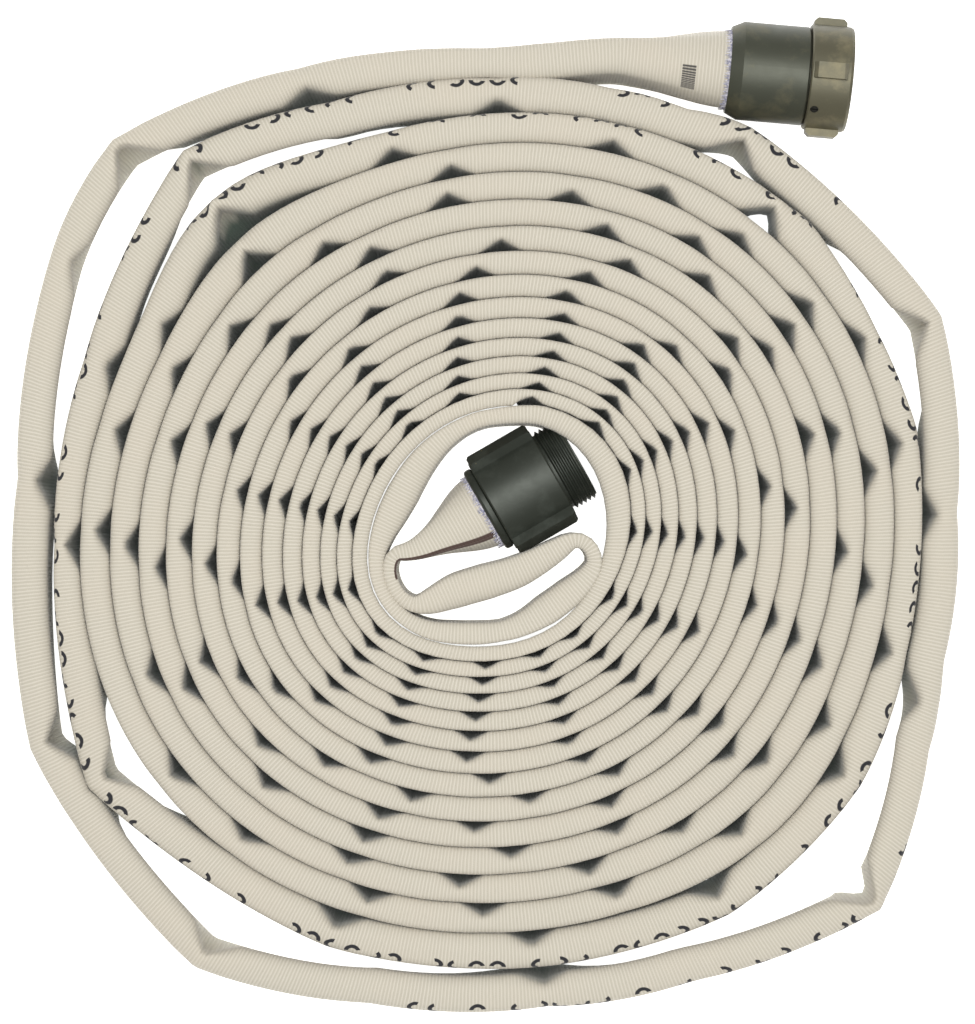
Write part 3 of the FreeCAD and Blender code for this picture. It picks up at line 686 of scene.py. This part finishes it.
def woven_polyester_jacket(sizes):
    """Woven polyester jacket: a circular weave of thick filler yarns makes ribs across the hose, which
    catch the light one by one; the fine warp breaks them up. The grooves between the ribs and the jacket deep
    between the turns are painted darker: painted shade."""
    material, tree = new_material("woven_polyester_jacket")
    uv = add(tree, "ShaderNodeUVMap", uv_map="weave")
    split = add(tree, "ShaderNodeSeparateXYZ", {0: uv.outputs["UV"]})
    along, around = split.outputs["X"], split.outputs["Y"]
    wander = add(tree, "ShaderNodeTexNoise", {"Vector": uv.outputs["UV"], "Scale": 90.0, "Detail": 2.0})
    drift = add(tree, "ShaderNodeMath", {0: wander.outputs["Fac"], 1: 0.0007, 2: along},
                operation="MULTIPLY_ADD")
    ribs = add(tree, "ShaderNodeMath", {0: drift.outputs[0], 1: 2 * math.pi / sizes.rib_pitch},
               operation="MULTIPLY")
    rib_wave = add(tree, "ShaderNodeMath", {0: ribs.outputs[0]}, operation="SINE")
    rib = add(tree, "ShaderNodeMapRange", {0: rib_wave.outputs[0], 1: -1.0, 2: 0.8, 3: 0.0, 4: 1.0},
              interpolation_type="SMOOTHSTEP")
    warps = add(tree, "ShaderNodeMath", {0: around, 1: 2 * math.pi / sizes.thread_pitch},
                operation="MULTIPLY")
    half_ribs = add(tree, "ShaderNodeMath", {0: ribs.outputs[0], 1: 0.5}, operation="MULTIPLY")
    warp_phase = add(tree, "ShaderNodeMath", {0: warps.outputs[0], 1: half_ribs.outputs[0]}, operation="ADD")
    warp_wave = add(tree, "ShaderNodeMath", {0: warp_phase.outputs[0]}, operation="SINE")
    fuzz = add(tree, "ShaderNodeTexNoise", {"Vector": uv.outputs["UV"], "Scale": 2200.0, "Detail": 3.0})
    height = add(tree, "ShaderNodeMath", {0: warp_wave.outputs[0], 1: 0.10, 2: rib.outputs[0]},
                 operation="MULTIPLY_ADD")
    rough_height = add(tree, "ShaderNodeMath", {0: fuzz.outputs["Fac"], 1: 0.25, 2: height.outputs[0]},
                       operation="MULTIPLY_ADD")
    bump = add(tree, "ShaderNodeBump", {"Height": rough_height.outputs[0], "Distance": sizes.rib_height,
                                        "Strength": 0.8})
    stain = add(tree, "ShaderNodeTexNoise", {"Vector": uv.outputs["UV"], "Scale": 14.0, "Detail": 4.0,
                                             "Roughness": 0.6})
    # the rib height paints the grooves between the ribs darker: painted shade
    yarn = add(tree, "ShaderNodeMix", {0: rib.outputs[0], 6: linear(sizes.groove_shade_colour),
                                       7: linear(sizes.jacket_colour)}, data_type="RGBA")
    stain_share = add(tree, "ShaderNodeMapRange", {0: stain.outputs["Fac"], 1: 0.45, 2: 0.75,
                                                   3: 0.0, 4: 0.35})
    soiled = add(tree, "ShaderNodeMix", {0: stain_share.outputs[0], 6: yarn.outputs[2],
                                         7: linear("#C2B8A8")}, data_type="RGBA")
    # twin tracer yarns, woven in along one edge
    place = add(tree, "ShaderNodeUVMap", uv_map="place")
    placed = add(tree, "ShaderNodeSeparateXYZ", {0: place.outputs["UV"]})
    lap, to_end = placed.outputs["X"], placed.outputs["Y"]
    offset = add(tree, "ShaderNodeMath", {0: lap, 1: TRACER_LAP}, operation="SUBTRACT")
    away = add(tree, "ShaderNodeMath", {0: offset.outputs[0]}, operation="ABSOLUTE")
    pair = add(tree, "ShaderNodeMath", {0: away.outputs[0], 1: TRACER_SPREAD}, operation="SUBTRACT")
    pair_away = add(tree, "ShaderNodeMath", {0: pair.outputs[0]}, operation="ABSOLUTE")
    tracer = add(tree, "ShaderNodeMapRange", {0: pair_away.outputs[0], 1: TRACER_WIDTH, 2: TRACER_WIDTH * 0.7,
                                              3: 0.0, 4: 0.92})
    shown = add(tree, "ShaderNodeMath", {0: to_end, 1: TRACER_LENGTH}, operation="LESS_THAN")
    tracer_share = add(tree, "ShaderNodeMath", {0: tracer.outputs[0], 1: shown.outputs[0]},
                       operation="MULTIPLY")
    traced = add(tree, "ShaderNodeMix", {0: tracer_share.outputs[0], 6: soiled.outputs[2],
                                         7: linear(sizes.tracer_colour)}, data_type="RGBA")
    # stencil ink: short curved strokes along the outer edge, here and there
    cell = add(tree, "ShaderNodeMath", {0: along, 1: 1 / STROKE_PITCH}, operation="MULTIPLY")
    cell_number = add(tree, "ShaderNodeMath", {0: cell.outputs[0]}, operation="FLOOR")
    cell_share = add(tree, "ShaderNodeMath", {0: cell.outputs[0]}, operation="FRACT")
    draw = add(tree, "ShaderNodeTexWhiteNoise", {1: cell_number.outputs[0]}, noise_dimensions="1D")
    group = add(tree, "ShaderNodeMath", {0: along, 1: 1 / STROKE_GROUP}, operation="MULTIPLY")
    group_number = add(tree, "ShaderNodeMath", {0: group.outputs[0]}, operation="FLOOR")
    group_draw = add(tree, "ShaderNodeTexWhiteNoise", {1: group_number.outputs[0]}, noise_dimensions="1D")
    chosen = add(tree, "ShaderNodeMath", {0: draw.outputs["Value"], 1: FEWEST_STROKES},
                 operation="GREATER_THAN")
    chosen_group = add(tree, "ShaderNodeMath", {0: group_draw.outputs["Value"], 1: FEWEST_GROUPS},
                       operation="GREATER_THAN")
    # each stroke is part of a ring, cut by a line at its own angle
    across = add(tree, "ShaderNodeMath", {0: cell_share.outputs[0], 1: 0.5}, operation="SUBTRACT")
    raised = add(tree, "ShaderNodeMath", {0: lap, 1: STENCIL_LAP}, operation="SUBTRACT")
    upward = add(tree, "ShaderNodeMath", {0: raised.outputs[0], 1: 1 / STENCIL_HEIGHT}, operation="MULTIPLY")
    spot = add(tree, "ShaderNodeCombineXYZ", {0: across.outputs[0], 1: upward.outputs[0]})
    reach = add(tree, "ShaderNodeVectorMath", {0: spot.outputs[0]}, operation="LENGTH")
    off_ring = add(tree, "ShaderNodeMath", {0: reach.outputs["Value"], 1: STROKE_RADIUS},
                   operation="SUBTRACT")
    from_ring = add(tree, "ShaderNodeMath", {0: off_ring.outputs[0]}, operation="ABSOLUTE")
    ring = add(tree, "ShaderNodeMapRange", {0: from_ring.outputs[0], 1: STROKE_WIDTH, 2: STROKE_WIDTH * 0.7,
                                            3: 0.0, 4: 1.0})
    lean = add(tree, "ShaderNodeMath", {0: draw.outputs["Value"], 1: STROKE_TURNS}, operation="MULTIPLY")
    turned = add(tree, "ShaderNodeVectorRotate", {"Vector": spot.outputs[0], "Angle": lean.outputs[0]},
                 rotation_type="Z_AXIS")
    half = add(tree, "ShaderNodeSeparateXYZ", {0: turned.outputs[0]})
    kept = add(tree, "ShaderNodeMath", {0: half.outputs["X"], 1: 0.02}, operation="GREATER_THAN")
    stroke = add(tree, "ShaderNodeMath", {0: ring.outputs[0], 1: kept.outputs[0]}, operation="MULTIPLY")
    drawn = add(tree, "ShaderNodeMath", {0: chosen.outputs[0], 1: chosen_group.outputs[0]},
                operation="MULTIPLY")
    begun = add(tree, "ShaderNodeMath", {0: along, 1: PRINTED_FROM}, operation="GREATER_THAN")
    ended = add(tree, "ShaderNodeMath", {0: along, 1: PRINTED_TO}, operation="LESS_THAN")
    spanned = add(tree, "ShaderNodeMath", {0: begun.outputs[0], 1: ended.outputs[0]}, operation="MULTIPLY")
    printed = add(tree, "ShaderNodeMath", {0: drawn.outputs[0], 1: spanned.outputs[0]}, operation="MULTIPLY")
    ink_stroke = add(tree, "ShaderNodeMath", {0: stroke.outputs[0], 1: printed.outputs[0]},
                     operation="MULTIPLY")
    # a printed block of fine bars beside the outer coupling
    label_in = add(tree, "ShaderNodeMath", {0: along, 1: (LABEL_START + LABEL_END) / 2,
                                            2: (LABEL_END - LABEL_START) / 2}, operation="COMPARE")
    label_side = add(tree, "ShaderNodeMath", {0: lap, 1: sum(LABEL_LAPS) / 2,
                                              2: (LABEL_LAPS[1] - LABEL_LAPS[0]) / 2}, operation="COMPARE")
    label = add(tree, "ShaderNodeMath", {0: label_in.outputs[0], 1: label_side.outputs[0]},
                operation="MULTIPLY")
    bars = add(tree, "ShaderNodeMath", {0: lap, 1: LABEL_BAR_RATE}, operation="MULTIPLY")
    bar_wave = add(tree, "ShaderNodeMath", {0: bars.outputs[0]}, operation="SINE")
    bar = add(tree, "ShaderNodeMapRange", {0: bar_wave.outputs[0], 1: -0.5, 2: 0.1, 3: 0.35, 4: 0.9})
    label_ink = add(tree, "ShaderNodeMath", {0: label.outputs[0], 1: bar.outputs[0]}, operation="MULTIPLY")
    ink = add(tree, "ShaderNodeMath", {0: ink_stroke.outputs[0], 1: label_ink.outputs[0]},
              operation="MAXIMUM")
    inked = add(tree, "ShaderNodeMix", {0: ink.outputs[0], 6: traced.outputs[2], 7: linear(sizes.ink_colour)},
                data_type="RGBA")
    # painted shade, deeper between the turns: a faint grey-green tint just below the top, then a dark
    # grey-green one deep down
    painted_shade_depth = add(tree, "ShaderNodeAttribute", attribute_name="painted_shade_depth")
    faint = add(tree, "ShaderNodeMapRange", {0: painted_shade_depth.outputs["Fac"], 1: 0.003, 2: 0.014, 3: 0.0, 4: 0.30},
                interpolation_type="SMOOTHSTEP")
    tinted = add(tree, "ShaderNodeMix", {0: faint.outputs[0], 6: inked.outputs[2], 7: linear("#879184")},
                 data_type="RGBA")
    deep = add(tree, "ShaderNodeMapRange", {0: painted_shade_depth.outputs["Fac"], 1: 0.011, 2: 0.040, 3: 0.0, 4: 0.96},
               interpolation_type="SMOOTHSTEP")
    coloured = add(tree, "ShaderNodeMix", {0: deep.outputs[0], 6: tinted.outputs[2],
                                           7: linear(sizes.painted_shade_colour)}, data_type="RGBA")
    shader = add(tree, "ShaderNodeBsdfPrincipled", {
        "Base Color": coloured.outputs[2], "Roughness": 0.88, "Normal": bump.outputs[0],
        "Sheen Weight": 0.25, "Sheen Roughness": 0.5, "IOR": 1.5, "Specular IOR Level": 0.25,
    })
    add(tree, "ShaderNodeOutputMaterial", {"Surface": shader.outputs[0]})
    return material


def plain_woven(name, colour):
    """Loose inner weave or rubber, hidden inside the jacket."""
    material, tree = new_material(name)
    uv = add(tree, "ShaderNodeUVMap", uv_map="weave")
    grain = add(tree, "ShaderNodeTexNoise", {"Vector": uv.outputs["UV"], "Scale": 800.0})
    tone = add(tree, "ShaderNodeMapRange", {0: grain.outputs["Fac"], 1: 0.3, 2: 0.7, 3: 0.0, 4: 0.3})
    mixed = add(tree, "ShaderNodeMix", {0: tone.outputs[0], 6: linear(colour), 7: linear("#6B675E")},
                data_type="RGBA")
    bump = add(tree, "ShaderNodeBump", {"Height": grain.outputs["Fac"], "Distance": 0.0002, "Strength": 0.5})
    shader = add(tree, "ShaderNodeBsdfPrincipled", {"Base Color": mixed.outputs[2], "Roughness": 0.85,
                                                    "Normal": bump.outputs[0]})
    add(tree, "ShaderNodeOutputMaterial", {"Surface": shader.outputs[0]})
    return material


def hard_anodised_aluminium(name, skin_colour, worn_colour, mouth, turn):
    """Hard-anodised aluminium, turned on a lathe: a dark skin with fine tool marks round the axis,
    a soft broad shine, and paler patches and specks where handling has rubbed it."""
    material, tree = new_material(name)
    place = add(tree, "ShaderNodeTexCoord")
    mapped = add(tree, "ShaderNodeMapping", {"Vector": place.outputs["Object"], "Location": mouth,
                                             "Rotation": (0, 0, turn)}, vector_type="TEXTURE")
    split = add(tree, "ShaderNodeSeparateXYZ", {0: mapped.outputs[0]})
    marks = add(tree, "ShaderNodeMath", {0: split.outputs["X"], 1: 2 * math.pi / TOOL_MARK_PITCH},
                operation="MULTIPLY")
    mark = add(tree, "ShaderNodeMath", {0: marks.outputs[0]}, operation="SINE")
    grit = add(tree, "ShaderNodeTexNoise", {"Vector": mapped.outputs[0], "Scale": 900.0, "Detail": 4.0})
    handled = add(tree, "ShaderNodeTexNoise", {"Vector": mapped.outputs[0], "Scale": 55.0, "Detail": 5.0,
                                               "Roughness": 0.65})
    wear = add(tree, "ShaderNodeMapRange", {0: handled.outputs["Fac"], 1: 0.48, 2: 0.72, 3: 0.0, 4: 0.55})
    skin = add(tree, "ShaderNodeMix", {0: wear.outputs[0], 6: linear(skin_colour), 7: linear(worn_colour)},
               data_type="RGBA")
    specks = add(tree, "ShaderNodeTexVoronoi", {"Vector": mapped.outputs[0], "Scale": 210.0})
    speck = add(tree, "ShaderNodeMapRange", {0: specks.outputs["Distance"], 1: 0.10, 2: 0.05, 3: 0.0, 4: 0.5})
    rare = add(tree, "ShaderNodeMath", {0: handled.outputs["Fac"], 1: 0.60}, operation="GREATER_THAN")
    speck_share = add(tree, "ShaderNodeMath", {0: speck.outputs[0], 1: rare.outputs[0]}, operation="MULTIPLY")
    speckled = add(tree, "ShaderNodeMix", {0: speck_share.outputs[0], 6: skin.outputs[2],
                                           7: linear("#A79B6E")}, data_type="RGBA")
    height = add(tree, "ShaderNodeMath", {0: mark.outputs[0], 1: 0.3, 2: grit.outputs["Fac"]},
                 operation="MULTIPLY_ADD")
    bump = add(tree, "ShaderNodeBump", {"Height": height.outputs[0], "Distance": 0.00005, "Strength": 0.5})
    gloss = add(tree, "ShaderNodeMapRange", {0: handled.outputs["Fac"], 1: 0.3, 2: 0.7, 3: 0.42, 4: 0.56})
    shader = add(tree, "ShaderNodeBsdfPrincipled", {
        "Base Color": speckled.outputs[2], "Metallic": 0.45, "Roughness": gloss.outputs[0],
        "Normal": bump.outputs[0],
    })
    add(tree, "ShaderNodeOutputMaterial", {"Surface": shader.outputs[0]})
    return material


def simple_finish(name, colour, metallic, roughness, grain):
    """Small inner pieces: turned brass, bearing steel and moulded rubber, each with its own fine grain."""
    material, tree = new_material(name)
    place = add(tree, "ShaderNodeTexCoord")
    noise = add(tree, "ShaderNodeTexNoise", {"Vector": place.outputs["Object"], "Scale": grain,
                                             "Detail": 4.0})
    tone = add(tree, "ShaderNodeMapRange", {0: noise.outputs["Fac"], 1: 0.35, 2: 0.65, 3: 0.75, 4: 1.0})
    dark = add(tree, "ShaderNodeMix", {0: tone.outputs[0], 6: linear("#14130F"), 7: linear(colour)},
               data_type="RGBA")
    bump = add(tree, "ShaderNodeBump", {"Height": noise.outputs["Fac"], "Distance": 0.00008, "Strength": 0.4})
    shader = add(tree, "ShaderNodeBsdfPrincipled", {"Base Color": dark.outputs[2], "Metallic": metallic,
                                                    "Roughness": roughness, "Normal": bump.outputs[0]})
    add(tree, "ShaderNodeOutputMaterial", {"Surface": shader.outputs[0]})
    return material


def cut_yarn():
    """Cut ends of polyester yarn at the couplings: pale, with a cool violet cast from the selvage dye."""
    material, tree = new_material("cut_polyester_yarn")
    place = add(tree, "ShaderNodeTexCoord")
    noise = add(tree, "ShaderNodeTexNoise", {"Vector": place.outputs["Object"], "Scale": 700.0,
                                             "Detail": 2.0})
    tone = add(tree, "ShaderNodeMapRange", {0: noise.outputs["Fac"], 1: 0.4, 2: 0.6, 3: 0.0, 4: 1.0})
    mixed = add(tree, "ShaderNodeMix", {0: tone.outputs[0], 6: linear("#CBC8CC"), 7: linear("#84849A")},
                data_type="RGBA")
    shader = add(tree, "ShaderNodeBsdfPrincipled", {"Base Color": mixed.outputs[2], "Roughness": 0.8,
                                                    "Sheen Weight": 0.3})
    add(tree, "ShaderNodeOutputMaterial", {"Surface": shader.outputs[0]})
    return material


# ------------------------------------------------ frayed yarn ends, by Geometry Nodes
def fray_tree(material):
    """Small tufts set round a circle that faces +X, each leaning out by its own amount."""
    tree = bpy.data.node_groups.new("fray_round_mouth", "GeometryNodeTree")
    for name, kind in (("Count", "NodeSocketInt"), ("Radius", "NodeSocketFloat"),
                       ("Length", "NodeSocketFloat"), ("Thickness", "NodeSocketFloat")):
        tree.interface.new_socket(name, in_out="INPUT", socket_type=kind)
    tree.interface.new_socket("Geometry", in_out="OUTPUT", socket_type="NodeSocketGeometry")
    given = add(tree, "NodeGroupInput")
    circle = add(tree, "GeometryNodeMeshCircle", {"Vertices": given.outputs["Count"],
                                                  "Radius": given.outputs["Radius"]})
    tuft = add(tree, "GeometryNodeMeshCone", {
        "Vertices": 5, "Side Segments": 1, "Fill Segments": 1, "Radius Top": 0.00012,
        "Radius Bottom": given.outputs["Thickness"], "Depth": given.outputs["Length"],
    })
    spot = add(tree, "GeometryNodeInputPosition")
    towards = add(tree, "FunctionNodeAlignRotationToVector", {"Vector": spot.outputs[0]}, axis="X")
    lean = add(tree, "FunctionNodeRandomValue", {0: (-0.30, -0.30, -0.2), 1: (0.30, 0.12, 0.2), "Seed": 7},
               data_type="FLOAT_VECTOR")
    leaned = add(tree, "FunctionNodeRotateRotation", {0: towards.outputs[0]})
    turn = add(tree, "FunctionNodeEulerToRotation", {0: lean.outputs[0]})
    tree.links.new(turn.outputs[0], leaned.inputs[1])
    size = add(tree, "FunctionNodeRandomValue", {2: 0.6, 3: 1.25, "Seed": 3}, data_type="FLOAT")
    placed = add(tree, "GeometryNodeInstanceOnPoints", {
        "Points": circle.outputs[0], "Instance": tuft.outputs[0], "Rotation": leaned.outputs[0],
        "Scale": size.outputs[1]})
    real = add(tree, "GeometryNodeRealizeInstances", {0: placed.outputs[0]})
    painted = add(tree, "GeometryNodeSetMaterial", {0: real.outputs[0], "Material": material})
    out = add(tree, "NodeGroupOutput")
    tree.links.new(painted.outputs[0], out.inputs[0])
    return tree


def fray_ring(name, tree, values, mouth, turn):
    """One ring of tufts, made a plain mesh and set in place at a coupling's mouth."""
    holder = bpy.data.objects.new(name + "_maker", bpy.data.meshes.new(name + "_maker"))
    bpy.context.collection.objects.link(holder)
    modifier = holder.modifiers.new("fray", "NODES")
    modifier.node_group = tree
    for item in tree.interface.items_tree:
        if item.in_out == "INPUT":
            modifier[item.identifier] = values[item.name]
    bpy.context.view_layer.update()
    mesh = bpy.data.meshes.new_from_object(holder.evaluated_get(bpy.context.evaluated_depsgraph_get()))
    bpy.data.objects.remove(holder)
    upright = Matrix.Rotation(math.radians(-90), 4, "Y")
    mesh.transform(Matrix.Translation(mouth) @ Matrix.Rotation(turn, 4, "Z") @ upright)
    mesh.name = name
    piece = bpy.data.objects.new(name, mesh)
    bpy.context.collection.objects.link(piece)
    return piece


# ------------------------------------------------ operators
def paint(node, material):
    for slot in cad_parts[node].material_slots:
        slot.material = material


class HOSE_OT_studio(bpy.types.Operator):
    """Camera, floor and soft light"""
    bl_idname = "hose.studio"
    bl_label = "Studio"

    def execute(self, context):
        sizes = context.scene.studio_sizes
        data = bpy.data.cameras.new("camera")
        data.lens = sizes.lens
        data.sensor_width = 36
        data.clip_start = 0.05
        data.clip_end = 20
        camera = bpy.data.objects.new("camera", data)
        camera.location = (0.0003, -0.0068, sizes.camera_height)
        camera.rotation_euler = (0, 0, sizes.camera_roll)
        context.collection.objects.link(camera)
        context.scene.camera = camera
        floor_data = bpy.data.meshes.new("floor")
        reach = 6.0
        corners = [(-reach, -reach, 0), (reach, -reach, 0), (reach, reach, 0), (-reach, reach, 0)]
        floor_data.from_pydata(corners, [], [(0, 1, 2, 3)])
        floor = bpy.data.objects.new("floor", floor_data)
        floor.location.z = -0.0005
        context.collection.objects.link(floor)
        material, tree = new_material("matt_white_board")
        shader = add(tree, "ShaderNodeBsdfPrincipled", {"Base Color": linear("#FAFAFA"), "Roughness": 0.95,
                                                        "Specular IOR Level": 0.0,
                                                        "Emission Color": linear("#FFFFFF"),
                                                        "Emission Strength": 0.85})
        add(tree, "ShaderNodeOutputMaterial", {"Surface": shader.outputs[0]})
        floor_data.materials.append(material)
        world = bpy.data.worlds.new("surround")
        world.use_nodes = True
        context.scene.world = world
        back = world.node_tree.nodes["Background"]
        back.inputs[0].default_value = linear("#FFFEFB")
        back.inputs[1].default_value = sizes.sky_strength
        for name, spot, size, power in (
            ("key", (-0.2, 0.3, 2.3), 1.1, sizes.key_power),
            ("fill", (0.5, -0.4, 2.3), 1.3, sizes.key_power * 0.45),
        ):
            light_data = bpy.data.lights.new(name, "AREA")
            light_data.energy = power
            light_data.size = size
            light = bpy.data.objects.new(name, light_data)
            light.location = spot
            light.rotation_euler = (-Vector(spot)).to_track_quat("-Z", "Y").to_euler()
            context.collection.objects.link(light)
        context.scene.view_settings.view_transform = "Standard"
        return {"FINISHED"}


class HOSE_OT_jacket(bpy.types.Operator):
    """The woven hose, wound into the roll, with the inner jacket and the liner inside it"""
    bl_idname = "hose.jacket"
    bl_label = "Hose"

    def execute(self, context):
        sizes = context.scene.hose_sizes
        strand = Strand()
        jacket = lay_mesh("hose_jacket", hose_rings(strand, 0.0), woven_polyester_jacket(sizes))
        inner = lay_mesh("hose_inner_jacket", hose_rings(strand, INNER_JACKET_INSET),
                         plain_woven("loose_polyester_inner_weave", "#CFC9BC"))
        liner = lay_mesh("hose_liner", hose_rings(strand, LINER_INSET),
                         plain_woven("calendered_rubber_liner", "#191919"))
        for piece, node, slot in (
            (jacket, "outer_jacket", "woven_jacket"),
            (inner, "inner_jacket", "inner_weave"),
            (liner, "rubber_liner", "liner_rubber"),
        ):
            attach(piece, "roll")
            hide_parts(node)
        return {"FINISHED"}


class HOSE_OT_couplings(bpy.types.Operator):
    """Finishes of the two couplings and the small pieces inside them"""
    bl_idname = "hose.couplings"
    bl_label = "Couplings"

    def execute(self, context):
        sizes = context.scene.coupling_sizes
        female = hard_anodised_aluminium("hard_anodised_aluminium_olive", sizes.female_colour,
                                         sizes.female_worn_colour, mouth_of(FEMALE_MOUTH), 0.0)
        swivel = hard_anodised_aluminium("hard_anodised_aluminium_rubbed", sizes.swivel_colour,
                                         sizes.swivel_worn_colour, mouth_of(FEMALE_MOUTH), 0.0)
        male = hard_anodised_aluminium("hard_anodised_aluminium_black", sizes.male_colour,
                                       sizes.male_worn_colour, mouth_of(MALE_MOUTH),
                                       math.radians(MALE_AXIS_ANGLE))
        brass = simple_finish("turned_brass", "#B08D4F", 1.0, 0.35, 400.0)
        rubber = simple_finish("moulded_rubber", "#1E1E1E", 0.0, 0.7, 900.0)
        steel = simple_finish("bearing_steel", "#C4C6C8", 1.0, 0.15, 200.0)
        screw = simple_finish("blackened_steel", "#3B3B38", 0.9, 0.45, 600.0)
        for node, material in (
            ("female_bowl", female), ("female_swivel", swivel), ("male_coupling", male),
            ("female_expansion_ring", brass), ("male_expansion_ring", brass),
            ("female_tail_gasket", rubber), ("male_tail_gasket", rubber), ("swivel_gasket", rubber),
            ("swivel_balls", steel), ("ball_plug", screw),
        ):
            paint(node, material)
        return {"FINISHED"}


class HOSE_OT_fray(bpy.types.Operator):
    """Cut yarn ends where the jacket goes into each coupling"""
    bl_idname = "hose.fray"
    bl_label = "Frayed edges"

    def execute(self, context):
        sizes = context.scene.coupling_sizes
        tree = fray_tree(cut_yarn())
        values = {"Count": sizes.fray_count, "Radius": TAIL_RADIUS + 0.0002, "Length": sizes.fray_length,
                  "Thickness": 0.0005}
        for name, place, turn in (
            ("female_frayed_edge", FEMALE_MOUTH, 0.0),
            ("male_frayed_edge", MALE_MOUTH, math.radians(MALE_AXIS_ANGLE)),
        ):
            piece = fray_ring(name, tree, values, mouth_of(place), turn)
            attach(piece, "roll")
        return {"FINISHED"}


class HOSE_PT_panel(bpy.types.Panel):
    """Lists the hose's pieces and sizes"""
    bl_idname = "HOSE_PT_panel"
    bl_label = "Fire hose"
    bl_space_type = "VIEW_3D"
    bl_region_type = "UI"
    bl_category = "Fire hose"

    def draw(self, context):
        for operator in OPERATORS:
            self.layout.operator(operator.bl_idname)
        for group, kind in GROUPS:
            for name in kind.__annotations__:
                self.layout.prop(getattr(context.scene, group), name)


OPERATORS = (HOSE_OT_studio, HOSE_OT_jacket, HOSE_OT_couplings, HOSE_OT_fray)
GROUPS = (("hose_sizes", HoseSizes), ("coupling_sizes", CouplingSizes), ("studio_sizes", StudioSizes))


def register():
    for name, kind in GROUPS:
        bpy.utils.register_class(kind)
        setattr(bpy.types.Scene, name, bpy.props.PointerProperty(type=kind))
    for kind in OPERATORS + (HOSE_PT_panel,):
        bpy.utils.register_class(kind)


def unregister():
    for kind in reversed(OPERATORS + (HOSE_PT_panel,)):
        bpy.utils.unregister_class(kind)
    for name, kind in reversed(GROUPS):
        delattr(bpy.types.Scene, name)
        bpy.utils.unregister_class(kind)


def main():
    register()
    bpy.ops.hose.studio()
    bpy.ops.hose.jacket()
    bpy.ops.hose.couplings()
    bpy.ops.hose.fray()


if __name__ == "__main__":
    main()
